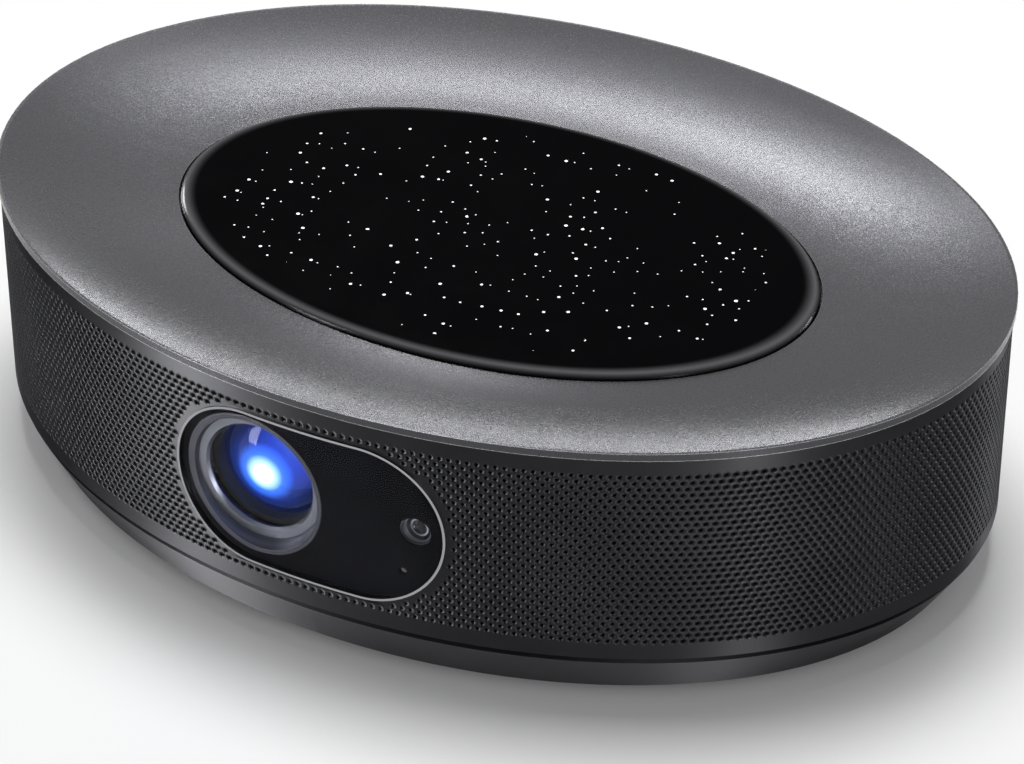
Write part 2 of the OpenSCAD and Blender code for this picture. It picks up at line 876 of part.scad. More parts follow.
// Lens mount: flange on the engine and the tube that guides the barrel
module lens_mount() {
  color("#2a2b2e")
    difference() {
      union() {
        block(
          [engine_x, engine_y - mount_flange, engine_low],
          [engine_x + engine_width, engine_y, engine_top]
        );
        rod_y(mount_r, lens_x, lens_z, gear_y - 4, engine_y);
        rod_y(mount_r + 1.2, lens_x, lens_z, gear_y + gear_width + 0.2, gear_y + gear_width + 3);
      }
      rod_y(mount_bore_r, lens_x, lens_z, gear_y - 5, engine_y + 1);
    }
}

module lens_barrel() {
  barrel_back = barrel_y + barrel_length;
  color("#1d1d20")
    about_lens()
      polygon([
        [lens_r + run_gap, barrel_y],
        [barrel_r, barrel_y],
        [barrel_r, barrel_back],
        [rear_lens_r - 1.5, barrel_back],
        [rear_lens_r - 1.5, barrel_back - 4],
        [rear_lens_r + run_gap, barrel_back - 4],
        [rear_lens_r + run_gap, barrel_back - 16],
        [rear_lens_r - 1, barrel_back - 16],
        [lens_r - 2.4, lens_seat],
        [lens_r + run_gap, lens_seat]
      ]);
}

module front_lens() {
  color("#a9c4de")
    about_lens()
      intersection() {
        translate([0, lens_seat - lens_rim - lens_bulge]) square([lens_r, lens_rim + lens_bulge]);
        translate([0, lens_seat - lens_rim - lens_bulge + lens_curve]) circle(r = lens_curve);
      }
}

module rear_lens() {
  barrel_back = barrel_y + barrel_length;
  color("#a9c4de")
    about_lens()
      intersection() {
        translate([0, barrel_back - 14]) square([rear_lens_r, 10]);
        translate([0, barrel_back - 14 + rear_curve]) circle(r = rear_curve);
      }
}

module focus_ring() {
  color("#34353a")
    translate([lens_x, gear_y + gear_width, lens_z])
      rotate([90, 0, 0])
        difference() {
          linear_extrude(height = gear_width) gear_outline(ring_teeth, pinion_angle);
          translate([0, 0, -1]) cylinder(r = mount_r + run_gap, h = gear_width + 2);
        }
}

module focus_pinion() {
  color("#d8d5cb")
    translate([pinion_x, gear_y + gear_width, pinion_z])
      rotate([90, 0, 0]) {
        linear_extrude(height = gear_width)
          gear_outline(pinion_teeth, pinion_angle + 180 + 180 / pinion_teeth);
        translate([0, 0, -motor_length]) cylinder(r = shaft_r, h = motor_length + gear_width + 1);
      }
}

// Focus motor on the mount's flange, with a bore for the pinion's shaft
module focus_motor() {
  motor_back = engine_y - mount_flange;
  motor_front = gear_y + gear_width + 1.5;
  color("#a7a9ad")
    difference() {
      union() {
        rod_y(motor_r, pinion_x, pinion_z, motor_front + 1, motor_back);
        rod_y(3, pinion_x, pinion_z, motor_front, motor_back);
      }
      rod_y(shaft_r + run_gap, pinion_x, pinion_z, motor_front - 1, motor_back - 2);
    }
}

// Imager chip and board on the engine's side
module imager_board() {
  far_x = engine_x + engine_width;
  color("#1f5b3c") {
    block([far_x, prism_y - 4, lens_z - 10], [far_x + imager_thick, prism_y + prism_side + 4, lens_z + 10]);
    block(
      [far_x + imager_thick, prism_y - 10, lens_z - 16],
      [far_x + imager_thick + board_thick, prism_y + prism_side + 22, lens_z + 16]
    );
  }
}

module imager_heatsink() {
  near_x = engine_x + engine_width + imager_thick + board_thick;
  fin_step = (2 * sink_half - sink_fin) / (sink_fins - 1);
  color("#b7b9bd") {
    translate([near_x, prism_y, lens_z]) block([0, -4, -sink_half], [3, prism_side + 8, sink_half]);
    for (i = [0 : sink_fins - 1])
      translate([near_x, prism_y, lens_z - sink_half + i * fin_step])
        block([2, -4, 0], [14, prism_side + 8, sink_fin]);
  }
}

module led_modules() {
  color("#d9d6c8")
    for (y = [led_front_y, led_back_y]) {
      translate([engine_x - led_thick / 2, y, lens_z]) cube([led_thick, led_size, led_size], center = true);
      translate([engine_x - 0.5, y, lens_z])
        rotate([0, 90, 0]) cylinder(r1 = led_hole_r - 2, r2 = led_hole_r - 3.5, h = 5);
    }
}

// Fin stack threaded on the heat pipes
module led_cooler() {
  color("#c3c5c9")
    difference() {
      union() {
        for (i = [0 : fin_count - 1])
          block(
            [fin_start - i * fin_pitch - fin_thick, fin_front, chassis_top],
            [fin_start - i * fin_pitch, fin_back, engine_top - 2]
          );
        for (y = [fin_front + 6, fin_back - 10], z = [chassis_top, engine_top - 3])
          block([fin_start - (fin_count - 1) * fin_pitch - fin_thick, y, z], [fin_start, y + 4, z + 1]);
      }
      for (p = pipe_places)
        translate([cold_x - 80, p[0], p[1]]) rotate([0, 90, 0]) cylinder(r = pipe_r + run_gap, h = 90);
    }
}

module heat_pipes() {
  color("#b5713f") {
    block(
      [cold_x, engine_y + 8, lens_z - 16],
      [cold_x + cold_plate, engine_y + engine_depth - 2, lens_z + 16]
    );
    for (p = pipe_places)
      translate([cold_x - pipe_length, p[0], p[1]])
        rotate([0, 90, 0]) cylinder(r = pipe_r, h = pipe_length + 1);
  }
}

module fan_place(side) {
  translate([side * fan_x, fan_y, fan_z]) rotate([-90, 0, 0]) children();
}

module fan_frame() {
  corner = fan_size / 2 - 4;
  difference() {
    translate([-fan_size / 2, -fan_size / 2, 0]) cube([fan_size, fan_size, fan_depth]);
    translate([0, 0, -1]) cylinder(r = fan_bore_r, h = fan_depth + 2);
    for (x = [-corner, corner], y = [-corner, corner])
      translate([x, y, -1]) cylinder(r = 1.8, h = fan_depth + 2);
  }
  difference() {
    union() {
      translate([0, 0, fan_depth - 2]) cylinder(r = hub_r, h = 2);
      for (a = [45 : 90 : 315])
        rotate(a) translate([hub_r - 1, -1.5, fan_depth - 2]) cube([fan_bore_r - hub_r + 2, 3, 2]);
      translate([0, 0, 5]) cylinder(r = bush_r, h = fan_depth - 5);
    }
    translate([0, 0, 4]) cylinder(r = shaft_r + run_gap, h = fan_depth - 5);
  }
}

// Hub cup with pitched blades on a thin shaft
module fan_rotor() {
  blade_low = 1.5;
  blade_top = fan_depth - 3.2;
  difference() {
    translate([0, 0, 1]) cylinder(r = hub_r, h = blade_top);
    translate([0, 0, 2.4]) cylinder(r = hub_r - 1.2, h = fan_depth);
  }
  translate([0, 0, 2]) cylinder(r = shaft_r, h = fan_depth - 4);
  for (i = [0 : fan_blades - 1])
    rotate(i * 360 / fan_blades)
      intersection() {
        difference() {
          translate([0, 0, blade_low]) cylinder(r = fan_bore_r - 0.9, h = blade_top - blade_low);
          translate([0, 0, blade_low - 1]) cylinder(r = hub_r - 0.6, h = fan_depth);
        }
        translate([fan_size / 2, 0, (blade_low + blade_top) / 2])
          rotate([52, 0, 0]) cube([fan_size, 1.2, 2 * fan_depth], center = true);
      }
}

module fan_frame_left() {
  color("#1e1e20") fan_place(-1) fan_frame();
}

module fan_frame_right() {
  color("#1e1e20") fan_place(1) fan_frame();
}

module fan_rotor_left() {
  color("#2a2a2d") fan_place(-1) fan_rotor();
}

module fan_rotor_right() {
  color("#2a2a2d") fan_place(1) fan_rotor();
}

// D-shaped closed box behind two speakers
module speaker_box(side) {
  wall_x = speaker_box_x + box_wall;
  color("#2b2b2e")
    difference() {
      intersection() {
        oval_disc(box_r, flange_top, speaker_box_top);
        translate([side > 0 ? speaker_box_x : -speaker_box_x - body_length, -body_width, 0])
          cube([body_length, 2 * body_width, body_height]);
      }
      intersection() {
        oval_disc(box_r - box_wall, flange_top + box_wall, speaker_box_top - box_wall);
        translate([side > 0 ? wall_x : -wall_x - body_length, -body_width, 0])
          cube([body_length, 2 * body_width, body_height]);
      }
      for (s = speaker_sides)
        if (s[0] == side)
          speaker_place(s[0], s[1])
            translate([0, 0, -collar_depth - 1]) cylinder(r = collar_r + 0.4, h = collar_depth + 8);
    }
}

module speaker_box_left() {
  speaker_box(-1);
}

module speaker_box_right() {
  speaker_box(1);
}

// Basket with its magnet: flange, conical wall with windows, pole and coil gap
module speaker_basket() {
  back = -collar_depth - 2 - speaker_depth;
  magnet_z = back + 10;
  roll_end = -collar_depth - 3 - cone_travel;
  color("#3b3c40")
    difference() {
      rotate_extrude()
        polygon([
          [0, magnet_z + 1],
          [coil_r - 0.7, magnet_z + 1],
          [coil_r - 0.7, back + 2],
          [coil_r + 0.7, back + 2],
          [coil_r + 0.7, magnet_z],
          [coil_r + 2, magnet_z],
          [speaker_hole_r, roll_end],
          [speaker_hole_r, -collar_depth],
          [speaker_r, -collar_depth],
          [speaker_r, -collar_depth - 2],
          [speaker_hole_r + 1.4, -collar_depth - 2],
          [speaker_hole_r + 1.4, roll_end - 1],
          [magnet_r, magnet_z],
          [magnet_r, back],
          [0, back]
        ]);
      for (a = [0 : 90 : 270])
        rotate(a) translate([magnet_r - 3, -3.5, magnet_z + 4]) cube([8, 7, 6]);
    }
}

// Cone with its roll, coil former and dust cap
module speaker_cone() {
  neck = -collar_depth - 9;
  coil_end = -collar_depth - speaker_depth + 1 + cone_travel;
  color("#171719")
    rotate_extrude()
      polygon([
        [0, neck + 2.6],
        [coil_r * 0.6, neck + 1.8],
        [coil_r, neck],
        [speaker_hole_r - 2.6, -collar_depth - 0.6],
        [speaker_hole_r - 1.5, -collar_depth + 0.6],
        [speaker_hole_r - 0.4, -collar_depth - 0.6],
        [speaker_hole_r - 0.4, -collar_depth - 1.4],
        [speaker_hole_r - 1.5, -collar_depth - 0.2],
        [speaker_hole_r - 2.6, -collar_depth - 1.4],
        [coil_r + 0.25, neck - 1],
        [coil_r + 0.25, coil_end],
        [coil_r - 0.25, coil_end],
        [coil_r - 0.25, neck - 0.8],
        [coil_r * 0.6, neck + 1],
        [0, neck + 1.8]
      ]);
}

module speaker_basket_front_left() {
  speaker_place(-1, -1) speaker_basket();
}

module speaker_basket_front_right() {
  speaker_place(1, -1) speaker_basket();
}

module speaker_basket_rear_left() {
  speaker_place(-1, 1) speaker_basket();
}

module speaker_basket_rear_right() {
  speaker_place(1, 1) speaker_basket();
}

module speaker_cone_front_left() {
  speaker_place(-1, -1) speaker_cone();
}

module speaker_cone_front_right() {
  speaker_place(1, -1) speaker_cone();
}

module speaker_cone_rear_left() {
  speaker_place(-1, 1) speaker_cone();
}

module speaker_cone_rear_right() {
  speaker_place(1, 1) speaker_cone();
}

// Main board behind the ports, with its chips and a heat spreader
module main_board() {
  color("#1f5b3c") {
    block([-port_length / 2 + 1, main_strip_y, main_low], [port_length / 2 - 1, port_back - 3, main_top]);
    block([-main_half, main_front_y, main_low], [main_half, main_strip_y + 1, main_top]);
  }
  color("#3a3b3f") {
    block([-16, main_front_y + 10, main_top - 0.5], [14, main_front_y + 36, main_top + 6]);
    for (i = [0 : 7])
      translate([-16 + i * 4, main_front_y, main_top]) block([0, 10, 5], [1.6, 36, 13]);
    for (x = [22, 30]) translate([x, main_front_y + 16, main_top - 0.5]) cylinder(r = 3, h = 9);
  }
}

module power_board() {
  color("#1f5b3c") translate([power_x, power_y, power_low]) cube([power_width, power_depth, board_thick]);
  color("#2d2d30") {
    block([power_x + 6, power_y + 8, power_low + 1], [power_x + 28, power_y + 34, power_low + 22]);
    for (i = [1 : 4]) translate([power_x + 38, power_y + i * 14, power_low + 1]) cylinder(r = 5, h = 18);
    block([power_x + 6, power_y + 44, power_low + 1], [power_x + 24, power_y + 60, power_low + 12]);
  }
}

// Recessed tray for the ports, flush with the grille at the rear
module port_panel() {
  color("#17171a")
    difference() {
      intersection() {
        slot_prism(port_length, port_height, port_z, port_back, body_width);
        oval_disc(band_r, 0, body_height);
      }
      slot_prism(port_length - 2 * port_wall, port_height - 2 * port_wall, port_z, port_y, body_width);
      for (x = hdmi_xs)
        block(
          [x - hdmi_w / 2 - socket_gap, port_back - 1, port_z - hdmi_h / 2 - socket_gap],
          [x + hdmi_w / 2 + socket_gap, port_y + 1, port_z + hdmi_h / 2 + socket_gap]
        );
      block(
        [usb_x - usb_w / 2 - socket_gap, port_back - 1, port_z - usb_h / 2 - socket_gap],
        [usb_x + usb_w / 2 + socket_gap, port_y + 1, port_z + usb_h / 2 + socket_gap]
      );
      rod_y(audio_r + socket_gap, audio_x, port_z, port_back - 1, port_y + 1);
      rod_y(dc_r + socket_gap, dc_x, port_z, port_back - 1, port_y + 1);
      rod_y(button_r + fit_gap, button_x, port_z, port_back - 1, port_y + 1);
    }
}

// Metal socket on the board with its nose through the port plate and a tongue inside
module flat_socket(x, width, height, depth, wall, tongue) {
  back = port_back - depth;
  difference() {
    union() {
      block([x - width / 2, back, main_top], [x + width / 2, port_back - socket_gap, port_z + height / 2]);
      block([x - width / 2, back, port_z - height / 2], [x + width / 2, port_y, port_z + height / 2]);
    }
    block(
      [x - width / 2 + wall, back + 1.5, port_z - height / 2 + wall],
      [x + width / 2 - wall, port_y + 1, port_z + height / 2 - wall]
    );
  }
  block(
    [x - width / 2 + 2, back + 1, port_z - tongue / 2],
    [x + width / 2 - 2, port_y - 1.5, port_z + tongue / 2]
  );
}

module hdmi_sockets() {
  color("#a9abb0") for (x = hdmi_xs) flat_socket(x, hdmi_w, hdmi_h, 11, 0.5, 1.2);
}

module usb_socket() {
  color("#a9abb0") flat_socket(usb_x, usb_w, usb_h, 13, 0.5, 1.8);
}

// Round socket on the board with its nose through the port plate
module round_socket(x, radius, bore, depth) {
  difference() {
    union() {
      block(
        [x - radius - 1, port_back - depth - 2, main_top],
        [x + radius + 1, port_back - socket_gap, port_z + radius]
      );
      rod_y(radius, x, port_z, port_back - 1, port_y);
    }
    rod_y(bore, x, port_z, port_y - depth, port_y + 1);
  }
}

module audio_jack() {
  color("#2a2a2d") round_socket(audio_x, audio_r, audio_bore_r, 12);
}

module dc_jack() {
  color("#2a2a2d") round_socket(dc_x, dc_r, dc_bore_r, 10);
  color("#c0c2c6") rod_y(1, dc_x, port_z, port_y - 10.5, port_y - 1.5);
}

// Power button: a cap with a retaining flange and a stem
module power_button() {
  color("#b9bbc0") {
    rod_y(button_r, button_x, port_z, port_back - 1, port_y + 1);
    rod_y(button_r + 1.2, button_x, port_z, port_back - 1.5, port_back - fit_gap);
    rod_y(shaft_r, button_x, port_z, port_back - 3, port_back - 1);
  }
}

module button_switch() {
  switch_front = port_back - 3 - button_travel - 0.1;
  color("#3c3c40") {
    block([button_x - 3.5, switch_front - 8, main_top], [button_x + 3.5, switch_front - 1, port_z + 3.5]);
    rod_y(1.6, button_x, port_z, switch_front - 2, switch_front);
  }
}

module wifi_antennas() {
  color("#8a7a3c")
    for (side = [-1, 1])
      translate([side * (speaker_box_x + 22), 0, speaker_box_top + 0.4]) cube([34, 9, 0.8], center = true);
}

top_cover();
touch_panel();
panel_gasket();
touch_board();
cover_screws();
grille_band();
side_frame();
chassis_plate();
base_cover();
rubber_feet();
base_screws();
tripod_insert();
window_trim();
front_window();
window_mask();
lens_shroud();
lens_trim_ring();
camera_module();
camera_lens();
light_sensor();
engine_housing();
engine_lid();
prism_block();
lens_mount();
lens_barrel();
front_lens();
rear_lens();
focus_ring();
focus_pinion();
focus_motor();
imager_board();
imager_heatsink();
led_modules();
led_cooler();
heat_pipes();
fan_frame_left();
fan_frame_right();
fan_rotor_left();
fan_rotor_right();
speaker_box_left();
speaker_box_right();
speaker_basket_front_left();
speaker_basket_front_right();
speaker_basket_rear_left();
speaker_basket_rear_right();
speaker_cone_front_left();
speaker_cone_front_right();
speaker_cone_rear_left();
speaker_cone_rear_right();
main_board();
power_board();
port_panel();
hdmi_sockets();
usb_socket();
audio_jack();
dc_jack();
power_button();
button_switch();
wifi_antennas();
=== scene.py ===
import math

import bpy
import numpy as np
from mathutils import Matrix, Vector
from mathutils.geometry import tessellate_polygon


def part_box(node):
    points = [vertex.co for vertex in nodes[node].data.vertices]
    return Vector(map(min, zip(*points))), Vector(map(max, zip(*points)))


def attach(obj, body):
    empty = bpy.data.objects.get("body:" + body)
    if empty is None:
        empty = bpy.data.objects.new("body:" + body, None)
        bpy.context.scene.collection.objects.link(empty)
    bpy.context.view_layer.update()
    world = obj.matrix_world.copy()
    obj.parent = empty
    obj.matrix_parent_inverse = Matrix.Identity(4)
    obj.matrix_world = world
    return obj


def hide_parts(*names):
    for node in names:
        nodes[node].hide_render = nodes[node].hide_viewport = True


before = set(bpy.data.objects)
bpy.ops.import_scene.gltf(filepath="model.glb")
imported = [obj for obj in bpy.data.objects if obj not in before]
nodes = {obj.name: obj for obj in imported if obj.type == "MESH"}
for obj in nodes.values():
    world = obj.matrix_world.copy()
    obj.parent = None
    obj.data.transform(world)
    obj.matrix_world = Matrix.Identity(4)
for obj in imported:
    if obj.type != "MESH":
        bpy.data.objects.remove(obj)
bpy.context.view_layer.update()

print("frame loaded:", len(nodes), "nodes")


# camera

cameraView = {
    "place": (0.5218, -0.9545, 0.7713),  # fitted to the rim, band, base and window edges
    "azimuth": 28.365,
    "elevation": 34.314,
    "lens": 138.9,
    "sensor": 36,
    "clipStart": 0.01,
}


def outward(azimuth, elevation):
    # direction away from the part, in degrees round from the front and degrees up
    azimuth, elevation = math.radians(azimuth), math.radians(elevation)
    level = math.cos(elevation)
    return Vector((math.sin(azimuth) * level, -math.cos(azimuth) * level, math.sin(elevation)))


def makeCamera():
    azimuth = math.radians(cameraView["azimuth"])
    back = outward(cameraView["azimuth"], cameraView["elevation"])
    right = Vector((math.cos(azimuth), math.sin(azimuth), 0))
    up = back.cross(right)
    data = bpy.data.cameras.new("photoCamera")
    data.lens = cameraView["lens"]
    data.sensor_width = cameraView["sensor"]
    data.clip_start = cameraView["clipStart"]
    camera = bpy.data.objects.new("photoCamera", data)
    turn = Matrix((right, up, back)).transposed().to_4x4()
    camera.matrix_world = Matrix.Translation(cameraView["place"]) @ turn
    bpy.context.scene.collection.objects.link(camera)
    bpy.context.scene.camera = camera


makeCamera()
print("camera set")


# node helpers

def addNode(tree, kind, values=None, **settings):
    node = tree.nodes.new(kind)
    for key, value in settings.items():
        setattr(node, key, value)
    for key, value in (values or {}).items():
        node.inputs[key].default_value = value
    return node


def newGroup(name, inputs, outputs):
    group = bpy.data.node_groups.new(name, "ShaderNodeTree")
    for label, kind, value in inputs:
        socket = group.interface.new_socket(name=label, in_out="INPUT", socket_type="NodeSocket" + kind)
        socket.default_value = value
    for label, kind in outputs:
        group.interface.new_socket(name=label, in_out="OUTPUT", socket_type="NodeSocket" + kind)
    return group, group.nodes.new("NodeGroupInput"), group.nodes.new("NodeGroupOutput")


def placeGroup(tree, group, **values):
    return addNode(tree, "ShaderNodeGroup", values, node_tree=group)


def feed(tree, socket, value):
    # a number or colour is set on the socket, anything else is linked to it
    if isinstance(value, (int, float)):
        socket.default_value = value
    elif isinstance(value, tuple):
        socket.default_value = (*value, 1)
    else:
        tree.links.new(value, socket)


def mathNode(tree, operation, first, second):
    node = addNode(tree, "ShaderNodeMath", operation=operation)
    feed(tree, node.inputs[0], first)
    feed(tree, node.inputs[1], second)
    return node.outputs[0]


def mapRange(tree, value, fromLow, fromHigh, toLow=0.0, toHigh=1.0):
    node = tree.nodes.new("ShaderNodeMapRange")
    tree.links.new(value, node.inputs["Value"])
    for key, number in (("From Min", fromLow), ("From Max", fromHigh), ("To Min", toLow), ("To Max", toHigh)):
        feed(tree, node.inputs[key], number)
    return node.outputs[0]


def mixColours(tree, factor, first, second):
    node = addNode(tree, "ShaderNodeMix", data_type="RGBA")
    tree.links.new(factor, node.inputs[0])
    feed(tree, node.inputs[6], first)
    feed(tree, node.inputs[7], second)
    return node.outputs[2]


def objectTexture(tree, kind, scale, values=None, **settings):
    node = addNode(tree, kind, values, **settings)
    place = tree.nodes.new("ShaderNodeTexCoord")
    tree.links.new(place.outputs["Object"], node.inputs["Vector"])
    feed(tree, node.inputs["Scale"], scale)
    return node


def normalUp(tree):
    # how far the surface faces up, 1 on a level top
    surface = tree.nodes.new("ShaderNodeNewGeometry")
    parts = tree.nodes.new("ShaderNodeSeparateXYZ")
    tree.links.new(surface.outputs["Normal"], parts.inputs[0])
    return parts.outputs["Z"]


def reachFrom(tree, place, scale):
    # distance from a place, with each axis scaled
    spot = tree.nodes.new("ShaderNodeTexCoord")
    shift = addNode(tree, "ShaderNodeVectorMath", {1: place}, operation="SUBTRACT")
    tree.links.new(spot.outputs["Object"], shift.inputs[0])
    scaled = addNode(tree, "ShaderNodeVectorMath", {1: scale}, operation="MULTIPLY")
    tree.links.new(shift.outputs[0], scaled.inputs[0])
    reach = addNode(tree, "ShaderNodeVectorMath", operation="LENGTH")
    tree.links.new(scaled.outputs[0], reach.inputs[0])
    return reach.outputs["Value"]


# shared effects

noiseSpan = (0.35, 0.65)  # where most values of a noise lie
wearAgree = (0.995, 0.93)  # how well the two normals agree where wear begins and is full
wearGaps = (0.4, 0.6)  # noise values that break up the wear
dustLean = (0.3, 1.0)  # how far up the surface faces where dust begins and is full
dustPatch = (0.4, 0.75)  # noise values that gather the dust in patches


def makeSurfaceGrain():
    group, given, out = newGroup(
        "surfaceGrain",
        [("Scale", "Float", 900.0), ("Low", "Float", 0.3), ("High", "Float", 0.5)],
        [("Roughness", "Float"), ("Height", "Float")],
    )
    noise = objectTexture(group, "ShaderNodeTexNoise", given.outputs["Scale"], {"Detail": 3.0, "Roughness": 0.6})
    rough = mapRange(group, noise.outputs[0], *noiseSpan, given.outputs["Low"], given.outputs["High"])
    group.links.new(rough, out.inputs["Roughness"])
    group.links.new(noise.outputs[0], out.inputs["Height"])
    return group


def makeToneDrift():
    group, given, out = newGroup(
        "toneDrift",
        [("First", "Color", (0.1, 0.1, 0.1, 1)), ("Second", "Color", (0.2, 0.2, 0.2, 1)), ("Scale", "Float", 20.0)],
        [("Color", "Color")],
    )
    noise = objectTexture(group, "ShaderNodeTexNoise", given.outputs["Scale"], {"Detail": 2.0})
    share = mapRange(group, noise.outputs[0], *noiseSpan)
    group.links.new(mixColours(group, share, given.outputs["First"], given.outputs["Second"]), out.inputs["Color"])
    return group


def makeEdgeWear():
    # an edge is where the rounded normal leaves the surface's own
    group, given, out = newGroup(
        "edgeWear",
        [("Radius", "Float", 0.0005), ("Scale", "Float", 300.0), ("Break", "Float", 0.3)],
        [("Mask", "Float")],
    )
    rounded = addNode(group, "ShaderNodeBevel", samples=4)
    group.links.new(given.outputs["Radius"], rounded.inputs["Radius"])
    surface = group.nodes.new("ShaderNodeNewGeometry")
    agree = addNode(group, "ShaderNodeVectorMath", operation="DOT_PRODUCT")
    group.links.new(rounded.outputs[0], agree.inputs[0])
    group.links.new(surface.outputs["Normal"], agree.inputs[1])
    edge = mapRange(group, agree.outputs["Value"], *wearAgree)
    noise = objectTexture(group, "ShaderNodeTexNoise", given.outputs["Scale"], {"Detail": 2.0})
    gap = mathNode(group, "MULTIPLY", mapRange(group, noise.outputs[0], *wearGaps), given.outputs["Break"])
    group.links.new(mathNode(group, "MULTIPLY", edge, mathNode(group, "SUBTRACT", 1.0, gap)), out.inputs["Mask"])
    return group


def makeMetalFlake():
    # each cell tilts the normal a little and has a tone of its own
    group, given, out = newGroup(
        "metalFlake",
        [("Scale", "Float", 4000.0), ("Spread", "Float", 0.15)],
        [("Normal", "Vector"), ("Tone", "Float")],
    )
    cells = objectTexture(group, "ShaderNodeTexVoronoi", given.outputs["Scale"])
    centred = addNode(group, "ShaderNodeVectorMath", {1: (0.5, 0.5, 0.5)}, operation="SUBTRACT")
    group.links.new(cells.outputs["Color"], centred.inputs[0])
    spread = addNode(group, "ShaderNodeVectorMath", operation="SCALE")
    group.links.new(centred.outputs[0], spread.inputs[0])
    group.links.new(given.outputs["Spread"], spread.inputs["Scale"])
    surface = group.nodes.new("ShaderNodeNewGeometry")
    tilted = addNode(group, "ShaderNodeVectorMath", operation="ADD")
    group.links.new(surface.outputs["Normal"], tilted.inputs[0])
    group.links.new(spread.outputs[0], tilted.inputs[1])
    unit = addNode(group, "ShaderNodeVectorMath", operation="NORMALIZE")
    group.links.new(tilted.outputs[0], unit.inputs[0])
    group.links.new(unit.outputs[0], out.inputs["Normal"])
    parts = group.nodes.new("ShaderNodeSeparateColor")
    group.links.new(cells.outputs["Color"], parts.inputs[0])
    group.links.new(parts.outputs[0], out.inputs["Tone"])
    return group


def makeDustFilm():
    # patches on what faces up
    group, given, out = newGroup(
        "dustFilm",
        [("Amount", "Float", 0.1), ("Scale", "Float", 60.0)],
        [("Mask", "Float")],
    )
    upward = mapRange(group, normalUp(group), *dustLean)
    noise = objectTexture(group, "ShaderNodeTexNoise", given.outputs["Scale"], {"Detail": 5.0, "Roughness": 0.7})
    patch = mathNode(group, "MULTIPLY", upward, mapRange(group, noise.outputs[0], *dustPatch))
    group.links.new(mathNode(group, "MULTIPLY", patch, given.outputs["Amount"]), out.inputs["Mask"])
    return group


surfaceGrain = makeSurfaceGrain()
toneDrift = makeToneDrift()
edgeWear = makeEdgeWear()
metalFlake = makeMetalFlake()
dustFilm = makeDustFilm()
print("shared effects ready")


# finishes

# a finish has two tones (colour, tint) and a least and greatest roughness (rough) at a scale (grain)
# it may have brushed highlights, a specular level, a grazing tint, worn edges, dust and a bump
finishBasics = {
    "metallic": 0.0,
    "drift": 25.0,  # scale of the slow change of tone
    "edge": 0.0004,  # radius of a worn edge
    "edgeBreak": 0.4,
    "depth": 0.00005,  # of the bump
    "dustColour": (0.42, 0.41, 0.4),
}
brushTurn = 0.25  # a quarter turn, so that highlights spread across the brushing


def newMaterial(name, **values):
    material = bpy.data.materials.new(name)
    material.use_nodes = True
    tree = material.node_tree
    shader = tree.nodes["Principled BSDF"]
    for key, value in values.items():
        shader.inputs[key.replace("_", " ")].default_value = value
    return material, tree, shader


def addGrain(tree, shader, look):
    low, high = look["rough"]
    grain = placeGroup(tree, surfaceGrain, Scale=look["grain"], Low=low, High=high)
    tree.links.new(grain.outputs["Roughness"], shader.inputs["Roughness"])
    return grain


def makeFinish(name, look):
    look = {**finishBasics, **look}
    material, tree, shader = newMaterial(name, Metallic=look["metallic"])
    if "brushed" in look:
        shader.inputs["Anisotropic"].default_value = look["brushed"]
        shader.inputs["Anisotropic Rotation"].default_value = brushTurn
    if "specular" in look:
        shader.inputs["Specular IOR Level"].default_value = look["specular"]
    if "grazing" in look:
        shader.inputs["Specular Tint"].default_value = (*look["grazing"], 1)
    grain = addGrain(tree, shader, look)
    tone = placeGroup(
        tree, toneDrift, First=(*look["colour"], 1), Second=(*look["tint"], 1), Scale=look["drift"],
    )
    colour = tone.outputs["Color"]
    if "worn" in look:
        wear = placeGroup(tree, edgeWear, Radius=look["edge"], Break=look["edgeBreak"])
        colour = mixColours(tree, wear.outputs["Mask"], colour, look["worn"])
    if "dust" in look:
        dust = placeGroup(tree, dustFilm, Amount=look["dust"])
        colour = mixColours(tree, dust.outputs["Mask"], colour, look["dustColour"])
    tree.links.new(colour, shader.inputs["Base Color"])
    if "bump" in look:
        bump = addNode(tree, "ShaderNodeBump", {"Strength": look["bump"], "Distance": look["depth"]})
        tree.links.new(grain.outputs["Height"], bump.inputs["Height"])
        tree.links.new(bump.outputs[0], shader.inputs["Normal"])
    return material


def dress(material, *names):
    for name in names:
        for slot in nodes[name].material_slots:
            slot.material = material


def newPiece(name, verts, faces, smooth, material):
    mesh = bpy.data.meshes.new(name)
    mesh.from_pydata(verts, [], faces)
    mesh.polygons.foreach_set("use_smooth", smooth)
    mesh.materials.append(material)
    mesh.update()
    piece = bpy.data.objects.new(name, mesh)
    bpy.context.scene.collection.objects.link(piece)
    return piece


# dished cover

coverPaint = {
    "dark": (0.255, 0.255, 0.277),
    "light": (0.33, 0.33, 0.356),
    "metallic": 0.95,
    "flakeScale": 3800.0,
    "flakeSpread": 0.04,
    "grain": 1500.0,
    "rough": (0.25, 0.29),
    "brushed": 0.75,  # highlights run out from the middle, as on turned metal
    "edgeRadius": 0.0004,
    "edgeBreak": 0.15,
    # paler edges, partly wear and partly a painted highlight along the rim
    "rimWearAndHighlight": (0.6, 0.6, 0.63),
    "side": (0.07, 0.07, 0.076),  # the upright face below the rim, darkened by painted shade
    "shadedSideEnds": (0.3, 0.7),  # how far up the surface faces where that painted shade gives way to the top
    "dust": 0.03,
    "dustColour": (0.45, 0.44, 0.43),
}


